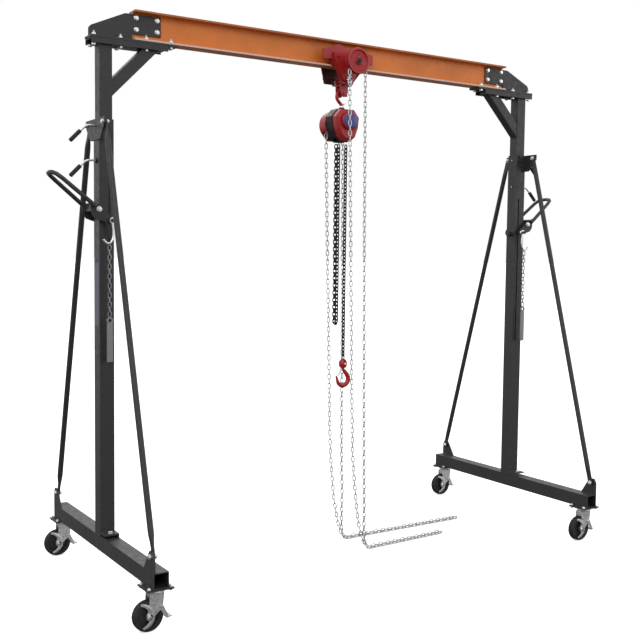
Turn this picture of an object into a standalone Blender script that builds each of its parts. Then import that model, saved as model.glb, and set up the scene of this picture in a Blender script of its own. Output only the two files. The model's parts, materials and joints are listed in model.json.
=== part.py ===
"""A height-adjustable gantry crane on castors, with a geared beam trolley and a hand chain hoist.
Metres. X runs along the beam, Y along the floor beams, Z is up and the castors stand on z = 0."""

import math

import bmesh
import bpy
from mathutils import Vector

# ---------------------------------------------------------------- driving dimensions
POST_X = 1.200  # each post's centre, from mid span
OUTER, OUTER_WALL = 0.065, 0.004
INNER, INNER_WALL = 0.056, 0.004
GAP = 0.0004  # between neighbouring pieces
BASE_HALF = 0.6125
BASE_Z0, BASE_Z1, BASE_W, BASE_WALL = 0.175, 0.241, 0.065, 0.004
OUTER_TOP, SLOT_Z0, SLOT_Z1 = 2.032, 1.000, 1.790
INNER_BOTTOM, CHANNEL_Z0, CHANNEL_Z1 = 0.950, 2.343, 2.3656
PIN_STEP, PIN_TOP = 0.146, 2.004
BEAM_HALF, BEAM_W, BEAM_Z0, BEAM_Z1 = 1.0715, 0.072, 2.377, 2.505
WEB, FLANGE = 0.006, 0.009
SEAT_Z0, SEAT_IN, SEAT_OUT = 2.366, 0.874, 1.268
STAY_R, STAY_TOP, STAY_FOOT = 0.0125, (0.098, 2.012), (0.582, 0.300)
LEVER_AXIS, HOOK_AXIS = (0.0405, 1.650), (-0.012, 1.604)  # outward from the post, height
LIFT_Y = -0.072
CASTOR_Y, TRAIL, WHEEL_R, WHEEL_W = 0.560, -0.035, 0.0625, 0.032
HOIST_X, HOIST_Z = 0.017, 2.105
ROLLER_X, ROLLER_R, ROLLER_Z = 0.0625, 0.030, 2.4164
PINION_Z, TROLLEY_WHEEL_Y, TROLLEY_WHEEL_R = 2.396, -0.135, 0.046
LOAD_BAR_Z, YOKE_PIN_Z = 2.318, 2.2553
HOOK_X, HOOK_Z, HOOK_R = 0.046, 0.8475, 0.0325
TAIL_X, TAIL_Z, TAIL_Y, TAIL_SPREAD = 0.000, 1.116, 0.006, 0.0120
CHAIN_TOP = 2.010
HAND_Y, HAND_R = 0.060, 0.050
HAND_CHAIN_D, LOAD_CHAIN_D, LIFT_CHAIN_D = 0.017, 0.020, 0.017

for old in list(bpy.data.objects):
    bpy.data.objects.remove(old)
scene = bpy.context.scene


# ---------------------------------------------------------------- primitive shapes: (verts, faces)
def prism(points, axis, low, high):
    """A polygon pushed along an axis. Its points are (y, z), (x, z) or (x, y) for axis x, y or z."""
    place = {"x": lambda a, b, c: (c, a, b), "y": lambda a, b, c: (a, c, b), "z": lambda a, b, c: (a, b, c)}[axis]
    n = len(points)
    verts = [place(u, v, low) for u, v in points] + [place(u, v, high) for u, v in points]
    faces = [tuple(range(n)), tuple(range(2 * n - 1, n - 1, -1))]
    faces += [(i, (i + 1) % n, n + (i + 1) % n, n + i) for i in range(n)]
    return verts, faces


def box(x0, x1, y0, y1, z0, z1):
    return prism([(x0, y0), (x1, y0), (x1, y1), (x0, y1)], "z", z0, z1)


def disc(u, v, radius, count=24, squash=1.0, turn=0.0):
    step = 2 * math.pi / count
    return [
        (u + radius * math.cos(i * step + turn), v + squash * radius * math.sin(i * step + turn))
        for i in range(count)
    ]


def rod(axis, u, v, radius, low, high, count=24):
    return prism(disc(u, v, radius, count), axis, low, high)


def lathe(axis, u, v, profile, count=32):
    """A solid of revolution: profile is (distance along the axis, radius), from one end to the other."""
    place = {"x": lambda a, b, c: (c, a, b), "y": lambda a, b, c: (a, c, b), "z": lambda a, b, c: (a, b, c)}[axis]
    verts, faces = [], []
    for along, radius in profile:
        verts += [place(a, b, along) for a, b in disc(u, v, radius, count)]
    for ring in range(len(profile) - 1):
        for i in range(count):
            j = (i + 1) % count
            faces.append((ring * count + i, ring * count + j, (ring + 1) * count + j, (ring + 1) * count + i))
    last = (len(profile) - 1) * count
    faces += [tuple(range(count)), tuple(range(last + count - 1, last - 1, -1))]
    return verts, faces


def smooth(points, per_span=6):
    """Catmull-Rom points through a route."""
    pts = [Vector(p) for p in points]
    pts = [2 * pts[0] - pts[1]] + pts + [2 * pts[-1] - pts[-2]]
    out = []
    for a, b, c, d in zip(pts, pts[1:], pts[2:], pts[3:]):
        for k in range(per_span):
            t = k / per_span
            out.append(
                0.5 * ((2 * b) + (c - a) * t + (2 * a - 5 * b + 4 * c - d) * t**2 + (3 * b - a - 3 * c + d) * t**3)
            )
    return out + [pts[-2]]


def bar(points, radius, count=12):
    """A round bar along a route; radius is one number, or one for each point."""
    pts = [Vector(p) for p in points]
    radii = radius if isinstance(radius, (list, tuple)) else [radius] * len(pts)
    tangents = [(pts[min(i + 1, len(pts) - 1)] - pts[max(i - 1, 0)]).normalized() for i in range(len(pts))]
    side = tangents[0].orthogonal().normalized()
    verts, faces = [], []
    for p, t, r in zip(pts, tangents, radii):
        side = (side - t * side.dot(t)).normalized()
        up = t.cross(side)
        for i in range(count):
            a = 2 * math.pi * i / count
            verts.append(tuple(p + r * (math.cos(a) * side + math.sin(a) * up)))
    for ring in range(len(pts) - 1):
        for i in range(count):
            j = (i + 1) % count
            faces.append((ring * count + i, ring * count + j, (ring + 1) * count + j, (ring + 1) * count + i))
    last = (len(pts) - 1) * count
    faces += [tuple(range(count)), tuple(range(last + count - 1, last - 1, -1))]
    return verts, faces


# ---------------------------------------------------------------- objects
def mesh_object(name, shape, pivot=(0, 0, 0)):
    verts, faces = shape
    origin = Vector(pivot)
    mesh = bpy.data.meshes.new(name)
    mesh.from_pydata([tuple(Vector(v) - origin) for v in verts], [], faces)
    work = bmesh.new()
    work.from_mesh(mesh)
    bmesh.ops.remove_doubles(work, verts=work.verts, dist=1e-6)
    bmesh.ops.recalc_face_normals(work, faces=work.faces)
    work.to_mesh(mesh)
    work.free()
    obj = bpy.data.objects.new(name, mesh)
    obj.location = origin
    scene.collection.objects.link(obj)
    return obj


def paint(obj, colour, metallic, roughness):
    material = bpy.data.materials.new(obj.name)
    material.use_nodes = True
    shader = material.node_tree.nodes["Principled BSDF"]
    shader.inputs["Base Color"].default_value = (*colour, 1)
    shader.inputs["Metallic"].default_value = metallic
    shader.inputs["Roughness"].default_value = roughness
    obj.data.materials.append(material)


LOOKS = {
    "charcoal": ((0.045, 0.045, 0.048), 0.0, 0.45),
    "orange": ((0.75, 0.22, 0.04), 0.0, 0.4),
    "red": ((0.42, 0.02, 0.02), 0.0, 0.35),
    "zinc": ((0.72, 0.72, 0.74), 1.0, 0.35),
    "black_steel": ((0.03, 0.03, 0.03), 0.6, 0.45),
    "rubber": ((0.02, 0.02, 0.02), 0.0, 0.7),
}


def solid(name, look, parts, cuts=(), pivot=(0, 0, 0)):
    """One named piece: the first shape, with the other parts joined to it and the cuts taken out."""
    obj = mesh_object(name, parts[0], pivot)
    jobs = [("UNION", s) for s in parts[1:]] + [("DIFFERENCE", s) for s in cuts]
    for i, (operation, shape) in enumerate(jobs):
        helper = mesh_object(f"{name}.tool{i}", shape)
        helper.hide_render = True
        helper.display_type = "WIRE"
        modifier = obj.modifiers.new(f"{operation.lower()}{i}", "BOOLEAN")
        modifier.operation, modifier.solver, modifier.object = operation, "EXACT", helper
    paint(obj, *LOOKS[look])
    return obj


def cord(name, look, points, diameter):
    """A chain's envelope: a round tube through these points."""
    curve = bpy.data.curves.new(name, "CURVE")
    curve.dimensions = "3D"
    curve.bevel_depth = diameter / 2
    curve.bevel_resolution = 2
    curve.use_fill_caps = True
    spline = curve.splines.new("POLY")
    spline.points.add(len(points) - 1)
    for target, p in zip(spline.points, points):
        target.co = (*p, 1)
    obj = bpy.data.objects.new(name, curve)
    scene.collection.objects.link(obj)
    paint(obj, *LOOKS[look])
    return obj


def line(a, b, count):
    return [tuple(Vector(a).lerp(Vector(b), i / count)) for i in range(count + 1)]


# ---------------------------------------------------------------- one leg: side is -1 (left) or 1 (right)
def leg(side, word):
    def x(u):  # outward from the post's centre
        return side * (POST_X + u)

    def xz(points):
        return [(x(u), z) for u, z in points]

    def xbox(u0, u1, y0, y1, z0, z1):
        return box(min(x(u0), x(u1)), max(x(u0), x(u1)), y0, y1, z0, z1)

    h, w = OUTER / 2, BASE_W / 2
    inside = h - OUTER_WALL

    # Floor beam: an open tube with a gusset for each stay and a plate over each castor.
    parts = [box(side * POST_X - w, side * POST_X + w, -BASE_HALF, BASE_HALF, BASE_Z0, BASE_Z1)]
    cuts = []
    for end in (-1, 1):
        edge = end * BASE_HALF
        outline = [(edge, 0.230), (edge, 0.300), (edge - end * 0.012, 0.322), (edge - end * 0.040, 0.322)]
        outline += [(edge - end * 0.052, 0.308), (edge - end * 0.096, 0.241), (edge - end * 0.096, 0.230)]
        parts.append(prism(outline, "x", min(x(w - 0.008), x(w)), max(x(w - 0.008), x(w))))
        cy = end * CASTOR_Y
        parts.append(box(side * POST_X - 0.056, side * POST_X + 0.056, cy - 0.0525, cy + 0.0525, 0.169, 0.1755))
        cuts.append(rod("x", end * STAY_FOOT[0], STAY_FOOT[1], 0.0065, min(x(0), x(0.06)), max(x(0), x(0.06)), 12))
    cuts.append(
        box(side * POST_X - w + BASE_WALL, side * POST_X + w - BASE_WALL, -0.7, 0.7, BASE_Z0 + BASE_WALL, BASE_Z1 - BASE_WALL)
    )
    solid(f"{word}_base_beam", "charcoal", parts, cuts)

    # Outer post: tube, wrap-round head bracket with wings, lever lugs, foot tab and an inner set bolt.
    foot = BASE_Z1 + GAP
    parts = [box(side * POST_X - h, side * POST_X + h, -h, h, foot, OUTER_TOP)]
    wing = [(-0.115, 2.032), (0.115, 2.032), (0.115, 2.006), (0.060, 1.944), (-0.060, 1.944), (-0.115, 2.006)]
    parts.append(prism(wing, "x", min(x(h - 0.001), x(h + 0.006)), max(x(h - 0.001), x(h + 0.006))))
    cheek = xz([(-0.016, 2.031), (h + 0.003, 2.031), (h + 0.003, 1.946), (0.010, 1.946)])
    for end in (-1, 1):
        parts.append(prism(cheek, "y", min(end * (h - 0.001), end * (h + 0.006)), max(end * (h - 0.001), end * (h + 0.006))))
    lug = xz([(h - 0.002, 1.6395), (0.0405, 1.6395), (0.0479, 1.6426), (0.0510, 1.6500), (0.0479, 1.6574),
              (0.0405, 1.6605), (h - 0.002, 1.6605)])
    for end in (-1, 1):
        parts.append(prism(lug, "y", min(end * 0.022, end * 0.029), max(end * 0.022, end * 0.029)))
    parts.append(xbox(-h, h, -0.088, -h + 0.001, 0.252, 0.259))
    parts.append(xbox(-h, -h + 0.006, -0.088, -h + 0.001, foot, 0.253))
    parts.append(rod("x", 0, 1.596, 0.0125, min(x(-h - 0.026), x(-h + 0.001)), max(x(-h - 0.026), x(-h + 0.001)), 16))
    cuts = [box(side * POST_X - inside, side * POST_X + inside, -inside, inside, 0.0, 2.2)]
    cuts.append(xbox(-0.015, -0.005, -0.05, -0.02, SLOT_Z0, SLOT_Z1))
    span = (side * POST_X - 0.036, side * POST_X + 0.036)
    for k in range(2):
        cuts.append(rod("x", 0, PIN_TOP - k * PIN_STEP, 0.0062, span[0] - 0.01, span[1] + 0.01, 12))
    cuts.append(rod("y", x(LEVER_AXIS[0]), LEVER_AXIS[1], 0.0066, -0.05, 0.05, 16))
    for end in (-1, 1):
        cuts.append(rod("x", end * STAY_TOP[0], STAY_TOP[1], 0.0065, min(x(0.02), x(0.08)), max(x(0.02), x(0.08)), 12))
    solid(f"{word}_outer_post", "charcoal", parts, cuts)

    # Stays: round tubes with flattened, drilled ends, on the inner side of the wings and gussets.
    plane = h - 0.0084 - 0.0045
    for end, where in ((-1, "front"), (1, "back")):
        top = Vector((x(h - 0.0052), end * STAY_TOP[0], STAY_TOP[1]))
        low = Vector((x(plane), end * STAY_FOOT[0], STAY_FOOT[1]))
        way = (low - top).normalized()
        parts = [bar([top + way * 0.060, low - way * 0.060], STAY_R, 16)]
        flat = way.cross(Vector((1, 0, 0))).normalized()
        for hole, sign in ((top, 1), (low, -1)):
            verts = []
            for du in (-0.0036, 0.0036):
                for along, half in ((-0.014, 0.008), (-0.006, 0.0145), (0.040, 0.0145), (0.080, 0.009)):
                    for s in (1, -1):
                        p = hole + way * (sign * along) + flat * (s * half)
                        verts.append((p.x + du, p.y, p.z))
            ring = [0, 2, 4, 6, 7, 5, 3, 1]
            faces = [tuple(ring), tuple(8 + i for i in reversed(ring))]
            faces += [(ring[i], ring[(i + 1) % 8], 8 + ring[(i + 1) % 8], 8 + ring[i]) for i in range(8)]
            parts.append((verts, faces))
        cuts = [
            rod("x", p.y, p.z, 0.0055, p.x - 0.02, p.x + 0.02, 12) for p in (top, low)
        ]
        solid(f"{word}_stay_{where}", "charcoal", parts, cuts)

    # Lock pins: a bent rod with a rubber grip. Each slides out of its hole, away from the crane.
    for k, where in enumerate(("upper", "lower")):
        z = PIN_TOP - k * PIN_STEP
        route = [(x(-0.0370), 0, z), (x(0.010), 0, z), (x(0.058), 0, z), (x(0.074), 0, z - 0.003)]
        route += [(x(0.088), 0, z - 0.012), (x(0.108), 0, z - 0.031)]
        grip_a, grip_b = Vector((x(0.102), 0, z - 0.025)), Vector((x(0.147), 0, z - 0.071))
        way = (grip_b - grip_a).normalized()
        grip = bar([grip_a, grip_a + way * 0.004, grip_b - way * 0.004, grip_b], [0.0075, 0.0095, 0.0095, 0.0075], 14)
        solid(f"{word}_pin_{where}", "zinc", [bar(route, 0.0050, 12), grip], pivot=(x(0.0325), 0, z))

    # Lifting lever: two cheeks astride the post, a web, a hairpin handle, the pivot and the hook pin.
    (au, az), (hu, hz) = LEVER_AXIS, HOOK_AXIS
    cheek = xz([(-0.022, 1.598), (-0.004, 1.592), (0.060, 1.612), (0.075, 1.632), (0.078, 1.668), (0.070, 1.680),
                (0.040, 1.664), (-0.018, 1.616)])
    parts = [prism(cheek, "y", -0.056, -0.050), prism(cheek, "y", 0.050, 0.056)]
    web = xz([(0.0530, 1.6400), (0.0665, 1.6425), (0.0600, 1.6780), (0.0495, 1.6740)])
    parts.append(prism(web, "y", -0.0505, 0.0505))
    parts.append(rod("y", x(au), az, 0.0060, -0.064, 0.064, 16))
    parts.append(rod("y", x(hu), hz, 0.0050, -0.084, -0.0505, 16))
    parts.append(rod("y", x(hu), hz, 0.0085, -0.090, -0.083, 12))
    finger = xz([(0.020, 1.632), (0.006, 1.622), (-0.004, 1.590), (-0.009, 1.560), (-0.009, 1.532), (-0.002, 1.530),
                 (0.002, 1.560), (0.008, 1.586), (0.020, 1.608), (0.034, 1.622)])
    parts.append(prism(finger, "y", -0.0555, -0.0505))
    handle = [(x(0.0600), -0.065, 1.6620), (x(0.0780), -0.065, 1.6765), (x(0.1960), -0.0535, 1.7720)]
    handle += [(x(0.2180), -0.0460, 1.7890), (x(0.2300), -0.0290, 1.7965), (x(0.2330), 0, 1.7985)]
    handle += [(px, -py, pz) for px, py, pz in reversed(handle[:-1])]
    parts.append(bar(handle, 0.0092, 12))
    solid(f"{word}_lift_lever", "charcoal", parts, pivot=(x(au), 0, az))

    # J hook on the lever's pin, the lifting chain and the peg bar below it.
    route = [(x(hu), LIFT_Y, hz - 0.012), (x(hu - 0.004), LIFT_Y, hz - 0.045), (x(hu - 0.002), LIFT_Y, hz - 0.074)]
    route += [(x(hu + 0.010), LIFT_Y, hz - 0.094), (x(hu + 0.026), LIFT_Y, hz - 0.096), (x(hu + 0.042), LIFT_Y, hz - 0.080)]
    radii = [0.0048] * 4 * (len(route) - 1)
    eye = rod("y", x(hu), hz, 0.0140, LIFT_Y - 0.0050, LIFT_Y + 0.0050, 20)
    bore = rod("y", x(hu), hz, 0.0056, LIFT_Y - 0.02, LIFT_Y + 0.02, 16)
    solid(f"{word}_lever_hook", "zinc", [bar(smooth(route, 4), radii + [0.0036], 10), eye], [bore], pivot=(x(hu), LIFT_Y, hz))
    cx = x(hu + 0.014)
    cord(f"{word}_lift_chain", "zinc", line((cx, LIFT_Y, 1.498), (cx, LIFT_Y, 1.196), 8), LIFT_CHAIN_D)
    ring_z = 1.180
    ring = [(cx + 0.0105 * math.sin(a), LIFT_Y, ring_z + 0.0105 * math.cos(a)) for a in (2 * math.pi * i / 16 for i in range(17))]
    ring_shape = rod("y", cx, ring_z, 0.0145, LIFT_Y - 0.0035, LIFT_Y + 0.0035, 20)
    flat_bar = box(cx - 0.0125, cx + 0.0125, LIFT_Y - 0.003, LIFT_Y + 0.003, 1.003, 1.169)
    peg = rod("y", cx, 1.020, 0.0055, LIFT_Y - 0.001, LIFT_Y + 0.0300, 12)
    hole = rod("y", ring[0][0], ring_z, 0.0075, LIFT_Y - 0.01, LIFT_Y + 0.01, 16)
    solid(f"{word}_lift_bar", "zinc", [flat_bar, ring_shape, peg], [hole], pivot=(cx, LIFT_Y, ring_z))

    # Inner post: tube, 45 degree knee brace and the channel under the beam.
    hi = INNER / 2
    parts = [box(side * POST_X - hi, side * POST_X + hi, -hi, hi, INNER_BOTTOM, CHANNEL_Z1 - 0.003)]
    brace = xz([(-hi + 0.002, 2.1280), (-hi + 0.002, 2.2010), (-0.1860, CHANNEL_Z1 - 0.002), (-0.2590, CHANNEL_Z1 - 0.002)])
    channel = xbox(-0.278, 0.064, -0.042, 0.042, CHANNEL_Z0, CHANNEL_Z1)
    parts += [channel, prism(brace, "y", -0.025, 0.025)]
    bore = hi - INNER_WALL
    cuts = [box(side * POST_X - bore, side * POST_X + bore, -bore, bore, 0.5, CHANNEL_Z0 - 0.002)]
    cuts.append(xbox(0.030, 0.2, -0.037, 0.037, CHANNEL_Z0 - 0.01, CHANNEL_Z1 - 0.005))
    cuts.append(xbox(-0.4, -0.262, -0.037, 0.037, CHANNEL_Z0 - 0.01, CHANNEL_Z1 - 0.005))
    for k in range(8):
        cuts.append(rod("x", 0, PIN_TOP - k * PIN_STEP, 0.0062, span[0], span[1], 10))
    solid(f"{word}_inner_post", "charcoal", parts, cuts)

    # Beam bracket: seat plate with two upright plates, one each side of the beam's web.
    inner_x, outer_x = sorted((side * SEAT_IN, side * SEAT_OUT))
    parts = [box(inner_x, outer_x, -0.040, 0.040, SEAT_Z0, BEAM_Z0 - GAP)]
    plate = [(-1.264, 2.368), (-1.264, 2.410), (-1.256, 2.421), (-1.106, 2.489), (-0.942, 2.491), (-0.942, 2.405),
             (-1.074, 2.405), (-1.074, 2.368)]
    plate = [(-side * u, z) for u, z in plate]
    near = WEB / 2 + GAP
    parts += [prism(plate, "y", near, near + 0.006), prism(plate, "y", -near - 0.006, -near)]
    solid(f"{word}_beam_bracket", "charcoal", parts)


leg(-1, "left")
leg(1, "right")


# ---------------------------------------------------------------- castors, all trailing the same way
def castor(name, cx, cy):
    wx, wz = cx + TRAIL, WHEEL_R
    head = lathe("z", cx, cy, [(0.1686, 0.030), (0.1626, 0.034), (0.1560, 0.034), (0.1500, 0.027)], 28)
    crown = prism([(cx - 0.034, cy - 0.0225), (cx + 0.026, cy - 0.0225), (cx + 0.026, cy + 0.0225), (cx - 0.034, cy + 0.0225)],
                  "z", 0.1435, 0.1510)
    cheek = [(cx - 0.034, 0.147), (cx + 0.026, 0.147), (cx + 0.0215, 0.112), (cx + 0.0215, 0.090), (cx + 0.006, 0.081),
             (wx + 0.013, 0.056), (wx + 0.004, 0.050), (wx - 0.008, 0.050), (wx - 0.013, 0.058), (cx - 0.036, 0.115)]
    parts = [head, crown]
    for s in (-1, 1):
        y0, y1 = sorted((cy + s * 0.0190, cy + s * 0.0225))
        parts.append(prism(cheek, "y", y0, y1))
        parts.append(rod("y", cx + 0.013, 0.095, 0.0036, *sorted((cy + s * 0.0195, cy + s * 0.0275)), 10))
    parts.append(rod("y", wx, wz, 0.0055, cy - 0.0270, cy + 0.0270, 12))
    solid(f"castor_fork_{name}", "zinc", parts, pivot=(cx, cy, 0.169))
    half = WHEEL_W / 2
    tyre = [(cy - half, 0.050), (cy - half, 0.057), (cy - half + 0.005, WHEEL_R - 0.0008), (cy, WHEEL_R),
            (cy + half - 0.005, WHEEL_R - 0.0008), (cy + half, 0.057), (cy + half, 0.050)]
    wheel = lathe("y", wx, wz, [(cy - half, 0.049)] + tyre[1:-1] + [(cy + half, 0.049)], 32)
    hub = rod("y", wx, wz, 0.016, cy - 0.0180, cy + 0.0180, 20)
    bore = rod("y", wx, wz, 0.0060, cy - 0.03, cy + 0.03, 16)
    recess = [lathe("y", wx, wz, [(cy + s * half * 1.1, 0.043), (cy + s * half * 0.55, 0.041)], 24) for s in (-1, 1)]
    ring = solid(f"castor_wheel_{name}", "rubber", [wheel], recess, pivot=(wx, cy, wz))
    for operation, shape in (("UNION", hub), ("DIFFERENCE", bore)):
        helper = mesh_object(f"{ring.name}.{operation.lower()}", shape)
        helper.hide_render, helper.display_type = True, "WIRE"
        modifier = ring.modifiers.new(operation, "BOOLEAN")
        modifier.operation, modifier.solver, modifier.object = operation, "EXACT", helper
    # Brake pedal: two arms outside the fork, from a cross pin, and a tread pad past the wheel.
    arm = [(cx + 0.006, 0.090), (cx + 0.006, 0.101), (cx + 0.020, 0.102), (cx + 0.041, 0.060), (cx + 0.041, 0.0482), (cx + 0.034, 0.0482)]
    parts = [prism([(cx + 0.0340, cy - 0.0264), (cx + 0.0600, cy - 0.0160), (cx + 0.0600, cy + 0.0160), (cx + 0.0340, cy + 0.0264)], "z", 0.0480, 0.0530)]
    for s in (-1, 1):
        parts.append(prism(arm, "y", *sorted((cy + s * 0.0230, cy + s * 0.0262))))
    cuts = [rod("y", cx + 0.013, 0.095, 0.0042, cy - 0.03, cy + 0.03, 10)]
    solid(f"castor_pedal_{name}", "zinc", parts, cuts, pivot=(cx + 0.013, cy, 0.095))


castor("left_front", -POST_X, -CASTOR_Y)
castor("left_back", -POST_X, CASTOR_Y)
castor("right_front", POST_X, -CASTOR_Y)
castor("right_back", POST_X, CASTOR_Y)

# ---------------------------------------------------------------- beam
hw, t = BEAM_W / 2, WEB / 2
section = [(-hw, BEAM_Z0), (hw, BEAM_Z0), (hw, BEAM_Z0 + FLANGE), (t + 0.004, BEAM_Z0 + FLANGE), (t, BEAM_Z0 + FLANGE + 0.004)]
section += [(t, BEAM_Z1 - FLANGE - 0.004), (t + 0.004, BEAM_Z1 - FLANGE), (hw, BEAM_Z1 - FLANGE), (hw, BEAM_Z1), (-hw, BEAM_Z1)]
section += [(-hw, BEAM_Z1 - FLANGE), (-t - 0.004, BEAM_Z1 - FLANGE), (-t, BEAM_Z1 - FLANGE - 0.004)]
section += [(-t, BEAM_Z0 + FLANGE + 0.004), (-t - 0.004, BEAM_Z0 + FLANGE), (-hw, BEAM_Z0 + FLANGE)]
solid("i_beam", "orange", [prism(section, "x", -BEAM_HALF, BEAM_HALF)])

# ---------------------------------------------------------------- trolley
TX = HOIST_X
hump = [(0.094, 2.463), (0.075, 2.478), (0.055, 2.4825), (0.035, 2.478), (0.018, 2.463)]
top_edge = [(-0.146, 2.452)] + [(-u, z) for u, z in hump] + hump[::-1] + [(0.146, 2.452)]
FRONT_EDGE = [(0.146, 2.402), (0.093, 2.402), (0.050, 2.345), (0.028, 2.297), (-0.034, 2.297), (-0.050, 2.325), (-0.093, 2.408), (-0.146, 2.408)]
BACK_EDGE = [(0.146, 2.402), (0.138, 2.372), (0.100, 2.326), (0.088, 2.306), (-0.071, 2.306), (-0.079, 2.342), (-0.096, 2.408), (-0.146, 2.410)]
TEETH, PINION_TEETH = 24, 14


def gear(u, v, teeth, tip, root, phase):
    """A spur gear's outline: straight flanks, wide at the root and narrow at the tip."""
    out = []
    for k in range(teeth):
        a = phase + 2 * math.pi * k / teeth
        for r, half in ((root, -0.0029), (tip, -0.0012), (tip, 0.0012), (root, 0.0029)):
            out.append((u + r * math.cos(a + half / r), v + r * math.sin(a + half / r)))
    return out


for s, word in ((-1, "front"), (1, "back")):
    y0, y1 = sorted((s * 0.0480, s * 0.0540))
    plate = [(TX + u, z) for u, z in top_edge + (FRONT_EDGE if s < 0 else BACK_EDGE)]
    parts = [prism(plate, "y", y0, y1)]
    cuts = [rod("y", TX, LOAD_BAR_Z, 0.0112, -0.2, 0.2, 20)]
    cuts += [rod("y", TX + u, ROLLER_Z, 0.0066, -0.2, 0.2, 16) for u in (-ROLLER_X, ROLLER_X)]
    if s < 0:
        boss = [(-0.090, 2.440), (-0.015, 2.448), (-0.0125, 2.416), (-0.0175, 2.350), (-0.026, 2.308), (-0.044, 2.331), (-0.087, 2.410)]
        boss = [(TX + u, z) for u, z in boss]
        parts.append(prism(boss, "y", -0.066, -0.0535))
        parts.append(rod("y", TX, PINION_Z, 0.016, -0.074, -0.0535, 24))
        cuts.append(rod("y", TX, PINION_Z, 0.0082, -0.2, 0.2, 20))
    solid(f"trolley_plate_{word}", "red", parts, cuts)
    for u, lr in ((-ROLLER_X, "left"), (ROLLER_X, "right")):
        cx = TX + u
        flange = 0.0372 if s < 0 else 0.0380
        profile = [(s * 0.0125, ROLLER_R - 0.003), (s * 0.0145, ROLLER_R), (s * 0.0364, ROLLER_R), (s * 0.0368, flange),
                   (s * 0.0430, flange), (s * 0.0432, 0.014), (s * 0.0470, 0.014), (s * 0.0471, 0.0060), (s * 0.0620, 0.0060)]
        parts = [lathe("y", cx, ROLLER_Z, profile, 28)]
        if s < 0:
            phase = math.radians(-16.67 if u < 0 else 205.58)
            parts.append(prism(gear(cx, ROLLER_Z, TEETH, 0.0446, 0.0378, phase), "y", -0.0428, -0.0370))
        solid(f"trolley_roller_{word}_{lr}", "red", parts, pivot=(cx, s * 0.03, ROLLER_Z))

# Hand wheel with its shaft and pinion: the rim holds the trolley's hand chain.
wy = TROLLEY_WHEEL_Y
profile = [(wy - 0.0140, 0.0100), (wy - 0.0140, 0.0160), (wy - 0.0060, 0.0200), (wy - 0.0060, 0.0480), (wy - 0.0130, 0.0520),
           (wy - 0.0130, 0.0600), (wy - 0.0085, 0.0630), (wy - 0.0015, 0.0385), (wy + 0.0015, 0.0385), (wy + 0.0085, 0.0630),
           (wy + 0.0115, 0.0600), (wy + 0.0120, 0.0220), (wy + 0.0380, 0.0200), (wy + 0.0385, 0.0078), (-0.0468, 0.0078)]
shaft = lathe("y", TX, PINION_Z, profile, 32)
pinion = prism(gear(TX, PINION_Z, PINION_TEETH, 0.0272, 0.0204, math.radians(18.08)), "y", -0.0470, -0.0368)
solid("trolley_hand_wheel", "red", [shaft, pinion], pivot=(TX, wy, PINION_Z))

# Load bar with its nuts outside the plates.
hexagon = disc(TX, LOAD_BAR_Z, 0.0185, 6)
parts = [rod("y", TX, LOAD_BAR_Z, 0.0104, -0.078, 0.078, 24), prism(hexagon, "y", 0.0546, 0.070), prism(hexagon, "y", -0.070, -0.0546)]
solid("load_bar", "zinc", parts, pivot=(TX, 0, LOAD_BAR_Z))

# Suspension yoke: two cheeks hung on the load bar, with the pin that takes the hoist's top hook.
cheek = disc(TX, LOAD_BAR_Z, 0.0230, 24)[:13] + [(TX - 0.021, 2.262)] + disc(TX, YOKE_PIN_Z, 0.0150, 24)[13:24] + [(TX + 0.021, 2.262)]
parts = [prism(cheek, "y", -0.0230, -0.0165), prism(cheek, "y", 0.0165, 0.0230)]
parts.append(rod("y", TX, YOKE_PIN_Z, 0.0070, -0.0270, 0.0270, 20))
parts.append(box(TX - 0.020, TX + 0.020, -0.0170, 0.0170, 2.2925, 2.2990))
cuts = [rod("y", TX, LOAD_BAR_Z, 0.0112, -0.05, 0.05, 24)]
solid("suspension_yoke", "red", parts, cuts, pivot=(TX, 0, LOAD_BAR_Z))

# ---------------------------------------------------------------- hoist
HX, HZ = HOIST_X, HOIST_Z


def outline(scale_x, scale_z, dz=0.0):
    half = [(0.022, -0.083), (0.048, -0.062), (0.066, -0.014), (0.072, 0.038), (0.040, 0.076)]
    half = [(scale_x * u, scale_z * v + dz) for u, v in half]
    return [(HX + u, HZ + v) for u, v in half] + [(HX - u, HZ + v) for u, v in reversed(half)]


parts = [prism(outline(1, 1), "y", -0.0220, 0.0340), rod("z", HX, 0, 0.0150, 2.176, 2.1900, 20)]
cuts = [prism(outline(0.90, 0.90), "y", -0.0160, 0.0280), box(HX - 0.045, HX + 0.045, -0.0135, 0.0135, 2.0, 2.04)]
cuts.append(rod("z", HX, 0, 0.0072, 2.15, 2.25, 16))
cuts.append(rod("y", HX, HZ, 0.0075, -0.03, 0.05, 16))
solid("hoist_frame", "black_steel", parts, cuts, pivot=(HX, 0, 2.19))


def tapered(scales, steps):
    """The body outline lofted along Y through (y, scale) steps."""
    rings = [outline(s, s) for s in scales]
    n = len(rings[0])
    verts = [(u, y, v) for ring, y in zip(rings, steps) for u, v in ring]
    faces = [tuple(range(n)), tuple(range((len(rings) - 1) * n + n - 1, (len(rings) - 1) * n - 1, -1))]
    for k in range(len(rings) - 1):
        faces += [(k * n + i, k * n + (i + 1) % n, (k + 1) * n + (i + 1) % n, (k + 1) * n + i) for i in range(n)]
    return verts, faces


cap = lathe("y", HX, 2.120, [(-0.060, 0.044), (-0.0805, 0.044), (-0.0840, 0.040), (-0.0855, 0.030)], 32)
hollow = tapered([0.88, 0.88, 0.74], [-0.0150, -0.0500, -0.0600])
cuts = [hollow]
solid("hoist_gear_cover", "red", [tapered([0.95, 0.95, 0.80], [-0.0224, -0.0540, -0.0680]), cap], cuts)

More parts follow.
